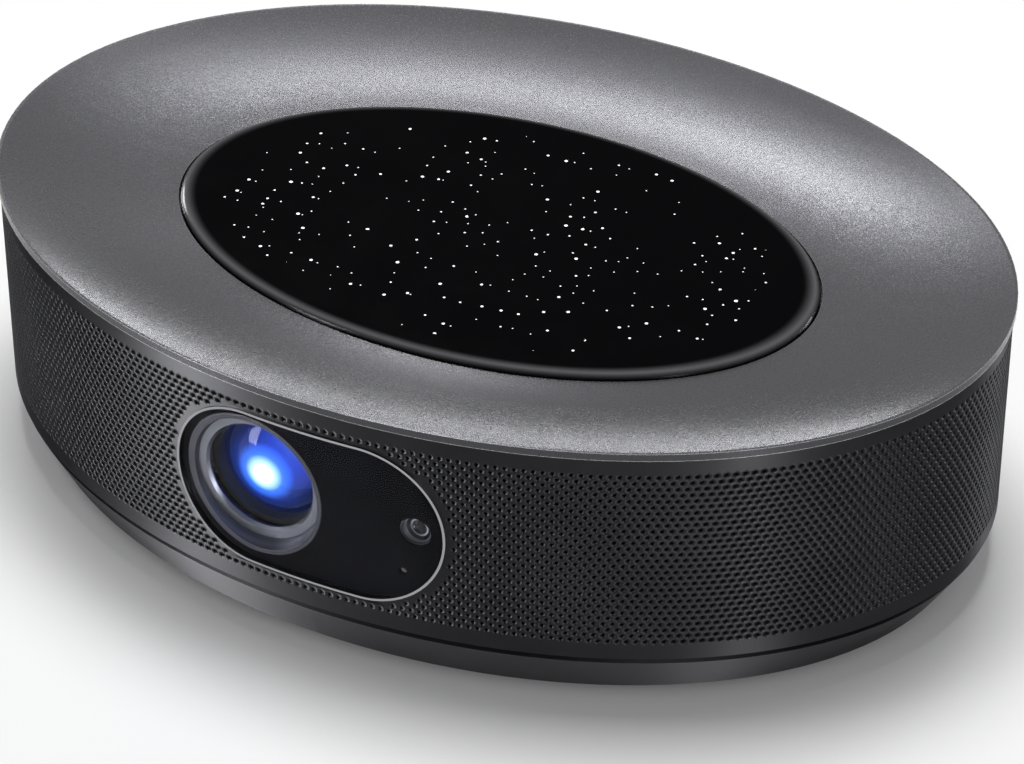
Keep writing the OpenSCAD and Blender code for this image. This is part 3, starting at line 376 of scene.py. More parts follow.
def makeCoverPaint():
    look = coverPaint
    material, tree, shader = newMaterial(
        "coverPaint", Metallic=look["metallic"], Anisotropic=look["brushed"], Anisotropic_Rotation=brushTurn,
    )
    flake = placeGroup(tree, metalFlake, Scale=look["flakeScale"], Spread=look["flakeSpread"])
    paint = mixColours(tree, flake.outputs["Tone"], look["dark"], look["light"])
    # painted shade: the colour darkens where the surface faces sideways, on the upright face below the rim
    paint = mixColours(tree, mapRange(tree, normalUp(tree), *look["shadedSideEnds"]), look["side"], paint)
    # the paler edges are partly wear and partly a painted highlight along the rim
    wear = placeGroup(tree, edgeWear, Radius=look["edgeRadius"], Break=look["edgeBreak"])
    colour = mixColours(tree, wear.outputs["Mask"], paint, look["rimWearAndHighlight"])
    dust = placeGroup(tree, dustFilm, Amount=look["dust"])
    colour = mixColours(tree, dust.outputs["Mask"], colour, look["dustColour"])
    tree.links.new(colour, shader.inputs["Base Color"])
    addGrain(tree, shader, look)
    tree.links.new(flake.outputs["Normal"], shader.inputs["Normal"])
    return material


dress(makeCoverPaint(), "top_cover")
print("cover painted")


# touch panel

panelGloss = {
    "black": (0.0012, 0.0012, 0.0016),
    "dot": (0.9, 0.92, 0.95),
    "cell": 0.0062,  # metres between dots
    "dotRadius": 0.00062,
    "dotSizes": (0.35, 1.0),  # shares of that radius
    "smallDots": 2.5,  # a higher power makes more dots small
    "dotSoft": 0.008,  # half the width of a dot's soft edge, in cells
    "kept": 0.5,  # share of the cells that show a dot
    "crowdScale": 26.0,  # size of the crowded and the empty places
    "crowdLeast": 0.1,
    "margin": 0.86,  # share of the panel that carries dots
    "glow": 0.55,
    "specular": 0.02,
    "grain": 40.0,
    "rough": (0.12, 0.2),
    "edgeCoat": 0.12,
    "edgeCoatRough": 0.22,
    "edgeLean": (0.995, 0.9),  # how far up the surface faces where that coat begins and is full
    # a paler tone along the panel's rounded edge, a painted highlight, the same all round
    "paintedEdgeHighlight": (0.1, 0.1, 0.105),
    "paintedHighlightRise": (0.945, 0.982),  # shares of the panel where the painted highlight along the edge begins and is full
    "paintedHighlightFall": (0.986, 1.0),  # and where that painted highlight fades and ends
}


def makePanelGloss():
    look = panelGloss
    material, tree, shader = newMaterial(
        "panelGloss",
        Specular_IOR_Level=look["specular"], Coat_Roughness=look["edgeCoatRough"], Emission_Strength=look["glow"],
    )
    cells = objectTexture(tree, "ShaderNodeTexVoronoi", 1 / look["cell"], voronoi_dimensions="2D")
    draw = tree.nodes.new("ShaderNodeSeparateColor")
    tree.links.new(cells.outputs["Color"], draw.inputs[0])
    size = mapRange(tree, mathNode(tree, "POWER", draw.outputs[0], look["smallDots"]), 0.0, 1.0, *look["dotSizes"])
    radius = mathNode(tree, "MULTIPLY", size, look["dotRadius"] / look["cell"])
    depth = mathNode(tree, "SUBTRACT", radius, cells.outputs["Distance"])
    inside = mapRange(tree, depth, -look["dotSoft"], look["dotSoft"])
    crowd = objectTexture(tree, "ShaderNodeTexNoise", look["crowdScale"], {"Detail": 1.0})
    least, most = look["crowdLeast"], 2 * look["kept"] - look["crowdLeast"]
    chance = mapRange(tree, crowd.outputs[0], *noiseSpan, least, most)
    kept = mathNode(tree, "LESS_THAN", draw.outputs[1], chance)
    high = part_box("touch_panel")[1]
    reach = reachFrom(tree, (0, 0, 0), (1 / high.x, 1 / high.y, 0))  # 1 along the panel's edge
    field = mathNode(tree, "LESS_THAN", reach, look["margin"])
    dots = mathNode(tree, "MULTIPLY", mathNode(tree, "MULTIPLY", inside, kept), field)
    # the paler band just inside the panel's edge is a painted highlight of its rounding
    highlightRise = mapRange(tree, reach, *look["paintedHighlightRise"])
    highlightFall = mapRange(tree, reach, *look["paintedHighlightFall"], 1.0, 0.0)
    edge = mathNode(tree, "MULTIPLY", mathNode(tree, "MULTIPLY", highlightRise, highlightRise), highlightFall)
    blackWithHighlight = mixColours(tree, edge, look["black"], look["paintedEdgeHighlight"])
    tree.links.new(mixColours(tree, dots, blackWithHighlight, look["dot"]), shader.inputs["Base Color"])
    # the printed dots also glow a little, painted light
    tree.links.new(mixColours(tree, dots, (0.0, 0.0, 0.0), look["dot"]), shader.inputs["Emission Color"])
    addGrain(tree, shader, look)
    # the rounded edge is glossier than the flat top
    coat = mapRange(tree, normalUp(tree), *look["edgeLean"], 0.0, look["edgeCoat"])
    tree.links.new(coat, shader.inputs["Coat Weight"])
    return material


dress(makePanelGloss(), "touch_panel")
print("panel dotted")


# perforated band

grilleSheet = {
    "rows": 29,
    "topRow": 0.0875,
    "rowStep": 0.0022,
    "columns": 326,
    "holeRadius": 0.00072,
    "depth": 0.001,
    "trimLap": 0.0004,  # how far the sheet runs under a frame's edge
    "margin": 0.0003,  # plain sheet between a frame and the nearest cell
    "leastFace": 1e-14,  # flatter triangles of the plain sheet are dropped
}
grilleMetal = {
    "colour": (0.036, 0.036, 0.039),
    "tint": (0.045, 0.045, 0.048),
    "metallic": 0.9,
    "rough": (0.46, 0.54),
    "brushed": 0.9,
    "grazing": (0.3, 0.3, 0.3),
    "grain": 1800.0,
}


class BandMap:
    # turns a length along the band and a height into a point on it
    def __init__(self, halfLength, halfWidth, steps=14400):
        turn = np.linspace(0, 2 * math.pi, steps + 1)
        x = halfLength * np.sin(turn)
        y = -halfWidth * np.cos(turn)
        run = np.concatenate(([0], np.cumsum(np.hypot(np.diff(x), np.diff(y)))))
        self.halfLength, self.halfWidth = halfLength, halfWidth
        self.turn, self.run, self.around = turn, run, run[-1]

    def point(self, along, height, depth=0.0):
        turn = float(np.interp(along % self.around, self.run, self.turn))
        keep = 1 - depth / self.halfWidth
        return (self.halfLength * keep * math.sin(turn), -self.halfWidth * keep * math.cos(turn), height)

    def alongFront(self, x):
        return float(np.interp(math.asin(x / self.halfLength) % (2 * math.pi), self.turn, self.run))

    def alongRear(self, x):
        return float(np.interp(math.pi - math.asin(x / self.halfLength), self.turn, self.run))

    def nearZero(self, along):
        # the same length, counted either way from the start
        return (along + self.around / 2) % self.around - self.around / 2


def slotOutline(length, height, middle, points=48):
    radius = height / 2
    reach = length / 2 - radius
    outline = []
    for end, start in ((reach, -90), (-reach, 90)):
        for k in range(points + 1):
            angle = math.radians(start + 180 * k / points)
            outline.append((end + radius * math.cos(angle), middle + radius * math.sin(angle)))
    return outline


def outsideSlot(x, z, length, height, middle):
    radius = height / 2
    reach = length / 2 - radius
    return math.hypot(max(abs(x) - reach, 0), z - middle) - radius


def turnOf(a, b, c):
    # twice the area of a flat triangle, positive when it runs counter-clockwise
    return (b[0] - a[0]) * (c[1] - a[1]) - (b[1] - a[1]) * (c[0] - a[0])


def makeGrille():
    # six-sided cells with a round hole in each, left out round the window and the ports
    sheet = grilleSheet
    low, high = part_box("grille_band")
    band = BandMap(high.x, high.y)
    pitch = band.around / sheet["columns"]
    step = sheet["rowStep"]
    side = (step ** 2 - pitch ** 2 / 4) / (2 * step)  # height of a cell's side corners
    apex = step - side
    count = 2 * sheet["columns"]
    frames = []
    for isRear, (boxLow, boxHigh) in ((False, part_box("window_trim")), (True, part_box("port_panel"))):
        frames.append({
            "rear": isRear,
            "length": boxHigh.x - boxLow.x,
            "height": boxHigh.z - boxLow.z,
            "middle": (boxHigh.z + boxLow.z) / 2,
            "edges": {},  # of the cells left out round it
        })

    verts, faces, smooth, index = [], [], [], {}

    def levelHeight(level):
        row, part = divmod(level, 2)
        return sheet["topRow"] - row * step + (apex if part == 0 else side)

    def corner(k, level):
        key = (k % count, level)
        if key not in index:
            height = {"top": high.z, "bottom": low.z}[level] if isinstance(level, str) else levelHeight(level)
            index[key] = len(verts)
            verts.append(band.point(key[0] * pitch / 2, height))
        return index[key]

    def cellKeys(k, row):
        top = 2 * row
        return [(k + 1, top + 1), (k, top), (k - 1, top + 1), (k - 1, top + 2), (k, top + 3), (k + 1, top + 2)]

    def takenBy(k, row):
        for opening in frames:
            for ck, level in cellKeys(k, row) + [(k, None)]:
                height = sheet["topRow"] - row * step if level is None else levelHeight(level)
                x, y, z = band.point((ck % count) * pitch / 2, height)
                if (y > 0) == opening["rear"]:
                    clear = outsideSlot(x, z, opening["length"], opening["height"], opening["middle"])
                    if clear < sheet["margin"]:
                        return opening
        return None

    cellSides, holeSides = 6, 12
    ringAngles = [math.radians(360 / holeSides * n) for n in range(holeSides)]
    ringStart = range(1, holeSides, 2)  # the hole's corners that face the cell's corners
    for row in range(sheet["rows"]):
        middle = sheet["topRow"] - row * step
        for column in range(sheet["columns"]):
            k = 2 * column + row % 2
            keys = cellKeys(k, row)
            opening = takenBy(k, row)
            if opening is not None:
                # only the outer edges of the cells left out remain
                edges = opening["edges"]
                for a, b in zip(keys, keys[1:] + keys[:1]):
                    a, b = (a[0] % count, a[1]), (b[0] % count, b[1])
                    if (b, a) in edges:
                        del edges[(b, a)]
                    else:
                        edges[(a, b)] = True
                continue
            outer = [corner(*key) for key in keys]
            along = k * pitch / 2
            ring = len(verts)
            reach = sheet["holeRadius"]
            for depth in (0.0, sheet["depth"]):
                for angle in ringAngles:
                    verts.append(band.point(along + reach * math.cos(angle), middle + reach * math.sin(angle), depth))
            for n in range(cellSides):
                after = (n + 1) % cellSides
                first, last = ringStart[n], ringStart[after]
                between = (first + 1) % holeSides
                faces.append((outer[n], outer[after], ring + last, ring + between, ring + first))
                smooth.append(True)
            rear = ring + holeSides
            for n in range(holeSides):
                after = (n + 1) % holeSides
                faces.append((ring + n, ring + after, rear + after, rear + n))
                smooth.append(False)

    # plain borders above the first row and below the last
    lastRow = sheet["rows"] - 1
    for k in range(count):
        upper = [corner(k, 0 if k % 2 == 0 else 1), corner(k + 1, 1 if k % 2 == 0 else 0)]
        faces.append((upper[0], upper[1], corner(k + 1, "top"), corner(k, "top")))
        even = (k - lastRow) % 2 == 0
        lower = [corner(k, 2 * lastRow + (3 if even else 2)), corner(k + 1, 2 * lastRow + (2 if even else 3))]
        faces.append((corner(k, "bottom"), corner(k + 1, "bottom"), lower[1], lower[0]))
        smooth += [True, True]

    # plain sheet between the cells and each frame
    for opening in frames:
        follow = {a: b for a, b in opening["edges"]}
        start = next(iter(follow))
        loop = [start]
        while follow[loop[-1]] != start:
            loop.append(follow[loop[-1]])
        half = band.around / 2 if opening["rear"] else 0.0
        outerFlat = [(band.nearZero(key[0] * pitch / 2 - half), levelHeight(key[1])) for key in loop]
        lap = 2 * sheet["trimLap"]
        innerFlat = []
        for x, z in slotOutline(opening["length"] - lap, opening["height"] - lap, opening["middle"]):
            along = band.alongRear(x) if opening["rear"] else band.alongFront(x)
            innerFlat.append((band.nearZero(along - half), z))
        marks = [corner(*key) for key in loop]
        for along, height in innerFlat:
            marks.append(len(verts))
            verts.append(band.point(along + half, height))
        flat = outerFlat + innerFlat
        loops = [[Vector((a, z, 0)) for a, z in outerFlat], [Vector((a, z, 0)) for a, z in innerFlat]]
        for a, b, c in tessellate_polygon(loops):
            turn = turnOf(flat[a], flat[b], flat[c])
            if abs(turn) > sheet["leastFace"]:
                faces.append((marks[a], marks[b], marks[c]) if turn > 0 else (marks[a], marks[c], marks[b]))
                smooth.append(True)

    piece = newPiece("grilleMesh", verts, faces, smooth, makeFinish("grilleMetal", grilleMetal))
    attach(piece, "housing")
    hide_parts("grille_band")
    print("band perforated:", len(verts), "corners", len(faces), "faces")


makeGrille()


# base and underside

basePlastic = {
    "colour": (0.085, 0.085, 0.09),
    "tint": (0.1, 0.1, 0.106),
    "metallic": 0.9,
    "rough": (0.42, 0.5),
    "brushed": 0.9,
    "grazing": (0.3, 0.3, 0.3),
    "grain": 2200.0,
    "bump": 0.1,
    "worn": (0.14, 0.14, 0.147),
    "edge": 0.0005,
}
footRubber = {
    "colour": (0.012, 0.012, 0.012),
    "tint": (0.02, 0.02, 0.02),
    "rough": (0.75, 0.9),
    "grain": 1500.0,
    "bump": 0.5,
}
screwSteel = {
    "colour": (0.2, 0.2, 0.21),
    "tint": (0.3, 0.3, 0.31),
    "metallic": 1.0,
    "rough": (0.3, 0.45),
    "grain": 2500.0,
    "worn": (0.6, 0.6, 0.6),
}
insertBrass = {
    "colour": (0.55, 0.4, 0.16),
    "tint": (0.45, 0.32, 0.12),
    "metallic": 1.0,
    "rough": (0.25, 0.4),
    "grain": 1800.0,
    "worn": (0.75, 0.6, 0.3),
}

dress(makeFinish("basePlastic", basePlastic), "base_cover")
dress(makeFinish("footRubber", footRubber), "rubber_feet")
dress(makeFinish("screwSteel", screwSteel), "base_screws", "cover_screws")
dress(makeFinish("insertBrass", insertBrass), "tripod_insert")
print("base dressed")


# front window

trimChrome = {
    "colour": (0.33, 0.33, 0.345),
    "tint": (0.38, 0.38, 0.395),
    "metallic": 1.0,
    "rough": (0.12, 0.2),
    "grain": 1200.0,
}
windowGlass = {
    "tint": (0.82, 0.83, 0.86),
    "rough": (0.01, 0.02),
    "grain": 35.0,
    "ior": 1.1,
}
maskBlack = {
    "colour": (0.0025, 0.0025, 0.0035),
    "tint": (0.004, 0.004, 0.0055),
    "rough": (0.6, 0.7),
    "grain": 2000.0,
    "specular": 0.0,
}


def makeGlass(name, look):
    material, tree, shader = newMaterial(name, Transmission_Weight=1.0, IOR=look["ior"])
    shader.inputs["Base Color"].default_value = (*look["tint"], 1)
    addGrain(tree, shader, look)
    # lets lamp light through
    clear = addNode(tree, "ShaderNodeBsdfTransparent", {"Color": (*look["tint"], 1)})
    path = tree.nodes.new("ShaderNodeLightPath")
    mix = tree.nodes.new("ShaderNodeMixShader")
    tree.links.new(path.outputs["Is Shadow Ray"], mix.inputs[0])
    tree.links.new(shader.outputs[0], mix.inputs[1])
    tree.links.new(clear.outputs[0], mix.inputs[2])
    tree.links.new(mix.outputs[0], tree.nodes["Material Output"].inputs["Surface"])
    return material


dress(makeFinish("trimChrome", trimChrome), "window_trim")
dress(makeGlass("windowGlass", windowGlass), "front_window")
dress(makeFinish("maskBlack", maskBlack), "window_mask")
print("window dressed")


# lens

lensPlace = (-0.0194, 0.0, 0.0569)
acrossAxis = (1, 0, 1)  # leaves out the distance along a lens's axis
ringedBasics = {
    "metallic": 0.8,
    "rough": (0.3, 0.4),
    "grain": 1500.0,
    "depth": 0.0002,
}
shroudMetal = {
    **ringedBasics,
    "dark": (0.05, 0.05, 0.058),
    "light": (0.1, 0.1, 0.115),
    "ringStep": 0.0009,
    "bump": 0.4,
}
ringMetal = {
    "colour": (0.22, 0.225, 0.25),
    "tint": (0.25, 0.255, 0.28),
    "metallic": 1.0,
    "rough": (0.3, 0.34),
    "grain": 1600.0,
}
lensBlack = {
    "colour": (0.008, 0.008, 0.009),
    "tint": (0.014, 0.014, 0.015),
    "rough": (0.35, 0.5),
    "grain": 1800.0,
    "bump": 0.2,
}
frontGlass = {
    "tint": (0.3, 0.45, 0.95),
    "paler": (0.4, 0.5, 1.0),
    "drift": 60.0,
    "rough": (0.0, 0.02),
    "grain": 60.0,
    "ior": 1.35,
    # radius and colour of the light that shows in the front lens
    "light": (
        (0.0024, (1.0, 1.0, 1.0)),
        (0.0044, (0.35, 0.65, 1.0)),
        (0.0066, (0.03, 0.14, 0.8)),
        (0.0105, (0.002, 0.014, 0.13)),
        (0.0155, (0.0, 0.002, 0.02)),
    ),
    "strength": 2.0,
    "rear": 0.0005,  # unlit depth at the rear face
}
lensLight = {
    "radius": 0.0125,
    "front": -0.1005,
    "crown": 0.0025,
    "rings": 10,
    "around": 48,
    "base": (0.02, 0.03, 0.08),
    "rough": 0.6,
    "edge": (0.015, 0.08, 0.7),
    "rim": (0.002, 0.008, 0.09),
    "edgeShare": 0.3,  # share of the radius where the edge colour begins to fade to the rim's
    "strength": 0.45,
}


def makeRingedMetalWithGrooveShade(name, look, place):
    material, tree, shader = newMaterial(name, Metallic=look["metallic"])
    turns = mathNode(tree, "DIVIDE", reachFrom(tree, place, acrossAxis), look["ringStep"])
    # the rings are paler on their crests and darker in their grooves, painted shade that follows the bump
    wave = mathNode(tree, "PINGPONG", turns, 0.5)
    share = mathNode(tree, "MULTIPLY", wave, 2.0)
    tree.links.new(mixColours(tree, share, look["dark"], look["light"]), shader.inputs["Base Color"])
    addGrain(tree, shader, look)
    bump = addNode(tree, "ShaderNodeBump", {"Strength": look["bump"], "Distance": look["depth"]})
    tree.links.new(wave, bump.inputs["Height"])
    tree.links.new(bump.outputs[0], shader.inputs["Normal"])
    return material


def makeFrontGlass():
    look = frontGlass
    material, tree, shader = newMaterial(
        "frontGlass", Transmission_Weight=1.0, IOR=look["ior"], Emission_Strength=look["strength"],
    )
    addGrain(tree, shader, look)
    tone = placeGroup(
        tree, toneDrift, First=(*look["tint"], 1), Second=(*look["paler"], 1), Scale=look["drift"],
    )
    tree.links.new(tone.outputs["Color"], shader.inputs["Base Color"])
    reach = reachFrom(tree, lensPlace, acrossAxis)
    glow = look["light"][0][1]
    for (inner, _), (outer, colour) in zip(look["light"], look["light"][1:]):
        glow = mixColours(tree, mapRange(tree, reach, inner, outer), glow, colour)
    # only the front face is lit, so the light shows once
    spot = tree.nodes.new("ShaderNodeTexCoord")
    parts = tree.nodes.new("ShaderNodeSeparateXYZ")
    tree.links.new(spot.outputs["Object"], parts.inputs[0])
    front = mathNode(tree, "LESS_THAN", parts.outputs["Y"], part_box("front_lens")[1].y - look["rear"])
    tree.links.new(mixColours(tree, front, (0.0, 0.0, 0.0), glow), shader.inputs["Emission Color"])
    return material


def makeLightFinish():
    look = lensLight
    material, tree, shader = newMaterial("lensLight", Roughness=look["rough"], Emission_Strength=look["strength"])
    shader.inputs["Base Color"].default_value = (*look["base"], 1)
    reach = reachFrom(tree, lensPlace, acrossAxis)
    halo = mapRange(tree, reach, look["radius"] * look["edgeShare"], look["radius"])
    tree.links.new(mixColours(tree, halo, look["edge"], look["rim"]), shader.inputs["Emission Color"])
    return material


def turnedFaces(place, outline, around):
    # a front turned about an axis along Y, from radius and Y at its rim to its middle
    verts, faces = [], []
    for radius, y in outline[:-1]:
        for n in range(around):
            angle = 2 * math.pi * n / around
            verts.append((place[0] + radius * math.cos(angle), y, place[2] + radius * math.sin(angle)))
    middle = len(verts)
    verts.append((place[0], outline[-1][1], place[2]))
    for ring in range(0, middle, around):
        for n in range(around):
            first, after = ring + n, ring + (n + 1) % around
            if ring + around < middle:
                faces.append((first, after, after + around, first + around))
            else:
                faces.append((first, after, middle))
    return verts, faces


def makeLensLight():
    # a shallow dome of light inside the barrel, behind the front glass
    look = lensLight
    outline = []
    for ring in range(look["rings"], -1, -1):
        share = ring / look["rings"]
        outline.append((look["radius"] * ring / look["rings"], look["front"] + look["crown"] * share ** 2))
    verts, faces = turnedFaces(lensPlace, outline, look["around"])
    piece = newPiece("lensGlow", verts, faces, [True] * len(faces), makeLightFinish())
    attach(piece, "lens_barrel")


dress(makeRingedMetalWithGrooveShade("shroudMetal", shroudMetal, lensPlace), "lens_shroud")
dress(makeFinish("ringMetal", ringMetal), "lens_trim_ring")
dress(makeFinish("lensBlack", lensBlack), "lens_barrel", "lens_mount")
dress(makeFrontGlass(), "front_lens", "rear_lens")
makeLensLight()
print("lens lit")


# small camera and sensor

cameraPlace = (0.037, 0.0, 0.0569)
cameraMetal = {
    **ringedBasics,
    "dark": (0.02, 0.02, 0.024),
    "light": (0.5, 0.5, 0.53),
    "ringStep": 0.0016,
    "bump": 0.1,
}
eyeGlass = {
    "colour": (0.006, 0.006, 0.014),
    "tint": (0.012, 0.008, 0.02),
    "rough": (0.03, 0.06),
    "grain": 120.0,
}
sensorPale = {
    "colour": (0.5, 0.48, 0.47),
    "tint": (0.42, 0.4, 0.4),
    "rough": (0.15, 0.25),
    "grain": 400.0,
}
cameraFront = {
    # radius and place along Y of the element's outline, from the outside in
    "seat": ((0.00424, -0.1162), (0.0033, -0.1154)),
    "ring": ((0.0031, -0.1157), (0.0026, -0.1157)),
    "domeFoot": (0.0025, -0.1152),
    "domeRise": 0.0011,
    "domeSteps": 6,
    "around": 48,
    "ringSoft": 0.0001,
    "dark": (0.012, 0.012, 0.015),
    "light": (0.5, 0.5, 0.53),
    "rough": (0.1, 0.3),  # of the dark glass and the pale ring
}


def makeCameraFinish():
    look = cameraFront
    material, tree, shader = newMaterial("cameraFront")
    reach = reachFrom(tree, cameraPlace, acrossAxis)
    (ringOut, _), (ringIn, _) = look["ring"]
    begun = mapRange(tree, reach, ringIn - look["ringSoft"], ringIn)
    ended = mapRange(tree, reach, ringOut, ringOut + look["ringSoft"])
    ring = mathNode(tree, "SUBTRACT", begun, ended)
    tree.links.new(mixColours(tree, ring, look["dark"], look["light"]), shader.inputs["Base Color"])
    tree.links.new(ring, shader.inputs["Metallic"])
    tree.links.new(mapRange(tree, ring, 0.0, 1.0, *look["rough"]), shader.inputs["Roughness"])
    return material


def makeCameraFront():
    # front element of the small camera, in its conical seat
    look = cameraFront
    outline = [*look["seat"], *look["ring"], look["domeFoot"]]
    rim, base = look["domeFoot"]
    domeStart = (len(outline) - 1) * look["around"]
    for step in range(1, look["domeSteps"] + 1):
        angle = math.pi / 2 * step / look["domeSteps"]
        outline.append((rim * math.cos(angle), base - look["domeRise"] * math.sin(angle)))
    verts, faces = turnedFaces(cameraPlace, outline, look["around"])
    smooth = [face[0] >= domeStart for face in faces]
    piece = newPiece("cameraFront", verts, faces, smooth, makeCameraFinish())
    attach(piece, "housing")


dress(makeRingedMetalWithGrooveShade("cameraMetal", cameraMetal, cameraPlace), "camera_module")
dress(makeFinish("eyeGlass", eyeGlass), "camera_lens")
dress(makeFinish("sensorPale", sensorPale), "light_sensor")
makeCameraFront()
print("small camera dressed")


# rear ports

portPlastic = {
    "colour": (0.016, 0.016, 0.017),
    "tint": (0.022, 0.022, 0.023),
    "rough": (0.45, 0.6),
    "grain": 2000.0,
    "bump": 0.3,
}
socketSteel = {
    "colour": (0.5, 0.5, 0.5),
    "tint": (0.6, 0.6, 0.6),
    "metallic": 1.0,
    "rough": (0.25, 0.4),
    "grain": 1500.0,
    "worn": (0.8, 0.8, 0.8),
    "edge": 0.0002,
}
jackPlastic = {
    "colour": (0.01, 0.01, 0.011),
    "tint": (0.016, 0.016, 0.017),
    "rough": (0.3, 0.45),
    "grain": 2400.0,
    "bump": 0.15,
}
buttonMetal = {
    "colour": (0.22, 0.22, 0.23),
    "tint": (0.28, 0.28, 0.29),
    "metallic": 1.0,
    "rough": (0.25, 0.35),
    "grain": 2200.0,
    "worn": (0.6, 0.6, 0.62),
    "edge": 0.0003,
}

dress(makeFinish("portPlastic", portPlastic), "port_panel")
dress(makeFinish("socketSteel", socketSteel), "hdmi_sockets", "usb_socket")
dress(makeFinish("jackPlastic", jackPlastic), "audio_jack", "dc_jack")
dress(makeFinish("buttonMetal", buttonMetal), "power_button")
print("ports dressed")


# pieces inside

framePlastic = {
    "colour": (0.004, 0.004, 0.004),
    "tint": (0.007, 0.007, 0.007),
    "rough": (0.7, 0.85),
    "grain": 1500.0,
    "bump": 0.3,
}
chassisSteel = {
    "colour": (0.42, 0.42, 0.43),
    "tint": (0.5, 0.5, 0.51),
    "metallic": 1.0,
    "rough": (0.35, 0.5),
    "grain": 900.0,
}
engineCasting = {
    "colour": (0.12, 0.12, 0.125),
    "tint": (0.16, 0.16, 0.165),
    "metallic": 0.7,
    "rough": (0.5, 0.65),
    "grain": 1400.0,
    "bump": 0.5,
    "worn": (0.4, 0.4, 0.4),
}
sinkAluminium = {
    "colour": (0.6, 0.6, 0.61),
    "tint": (0.68, 0.68, 0.69),
    "metallic": 1.0,
    "rough": (0.3, 0.42),
    "grain": 1200.0,
}
pipeCopper = {
    "colour": (0.7, 0.32, 0.17),
    "tint": (0.6, 0.26, 0.14),
    "metallic": 1.0,
    "rough": (0.22, 0.38),
    "grain": 600.0,
}
fanPlastic = {
    "colour": (0.014, 0.014, 0.015),
    "tint": (0.02, 0.02, 0.021),
    "rough": (0.35, 0.5),
    "grain": 1800.0,
    "bump": 0.2,
    "dust": 0.2,
}
boxPlastic = {
    "colour": (0.012, 0.012, 0.012),
    "tint": (0.018, 0.018, 0.018),
    "rough": (0.55, 0.7),
    "grain": 1600.0,
    "bump": 0.4,
}
basketSteel = {
    "colour": (0.05, 0.05, 0.05),
    "tint": (0.07, 0.07, 0.07),
    "metallic": 0.6,
    "rough": (0.4, 0.55),
    "grain": 1300.0,
    "worn": (0.3, 0.3, 0.3),
}
conePaper = {
    "colour": (0.02, 0.02, 0.021),
    "tint": (0.035, 0.034, 0.033),
    "rough": (0.7, 0.9),
    "grain": 1100.0,
    "bump": 0.6,
    "depth": 0.0001,
}
gearPlastic = {
    "colour": (0.75, 0.73, 0.66),
    "tint": (0.68, 0.66, 0.6),
    "rough": (0.35, 0.5),
    "grain": 1500.0,
    "bump": 0.15,
}
motorSteel = {
    "colour": (0.5, 0.5, 0.5),
    "tint": (0.42, 0.42, 0.42),
    "metallic": 1.0,
    "rough": (0.3, 0.45),
    "grain": 800.0,
}
ledCeramic = {
    "colour": (0.7, 0.68, 0.6),
    "tint": (0.62, 0.6, 0.52),
    "rough": (0.4, 0.6),
    "grain": 1400.0,
    "bump": 0.2,
}
prismGlass = {
    "tint": (0.85, 0.92, 0.95),
    "rough": (0.0, 0.02),
    "grain": 35.0,
    "ior": 1.52,
}
gasketRubber = {
    "colour": (0.018, 0.018, 0.018),
    "tint": (0.026, 0.026, 0.026),
    "rough": (0.8, 0.92),
    "grain": 1700.0,
    "bump": 0.5,
}
circuitBoard = {
    "mask": (0.004, 0.05, 0.018),
    "trace": (0.012, 0.11, 0.04),
    "pad": (0.5, 0.36, 0.12),
    "trackScale": 260.0,
    "trackWidth": 0.06,
    "padScale": 240.0,
    "padScatter": 0.35,
    "padRadius": 0.16,
    "rough": (0.3, 0.45),
    "grain": 900.0,
}


def makeCircuitBoard():
    look = circuitBoard
    material, tree, shader = newMaterial("circuitBoard")
    tracks = objectTexture(tree, "ShaderNodeTexBrick", look["trackScale"], {"Mortar Size": look["trackWidth"]})
    traced = mixColours(tree, tracks.outputs["Fac"], look["mask"], look["trace"])
    pads = objectTexture(tree, "ShaderNodeTexVoronoi", look["padScale"], {"Randomness": look["padScatter"]})
    shown = mathNode(tree, "LESS_THAN", pads.outputs["Distance"], look["padRadius"])
    tree.links.new(mixColours(tree, shown, traced, look["pad"]), shader.inputs["Base Color"])
    addGrain(tree, shader, look)
    return material


def dressInside():
    hands = ("left", "right")
    corners = [end + "_" + hand for end in ("front", "rear") for hand in hands]
    fans = ["fan_" + part + "_" + hand for part in ("frame", "rotor") for hand in hands]
    dress(makeFinish("framePlastic", framePlastic), "side_frame")
    dress(makeFinish("chassisSteel", chassisSteel), "chassis_plate")
    dress(makeFinish("engineCasting", engineCasting), "engine_housing", "engine_lid")
    dress(makeFinish("sinkAluminium", sinkAluminium), "led_cooler", "imager_heatsink")
    dress(makeFinish("pipeCopper", pipeCopper), "heat_pipes")
    dress(makeFinish("ledCeramic", ledCeramic), "led_modules")
    dress(makeGlass("prismGlass", prismGlass), "prism_block")
    dress(makeFinish("gasketRubber", gasketRubber), "panel_gasket")
    dress(makeFinish("gearPlastic", gearPlastic), "focus_ring", "focus_pinion")
    dress(makeFinish("motorSteel", motorSteel), "focus_motor")
    dress(makeFinish("fanPlastic", fanPlastic), *fans)
    dress(makeFinish("boxPlastic", boxPlastic), "speaker_box_left", "speaker_box_right", "button_switch")
    dress(makeFinish("basketSteel", basketSteel), *["speaker_basket_" + place for place in corners])
    dress(makeFinish("conePaper", conePaper), *["speaker_cone_" + place for place in corners])
    dress(makeCircuitBoard(), "touch_board", "main_board", "power_board", "imager_board", "wifi_antennas")


dressInside()
print("inside dressed")


# floor and light

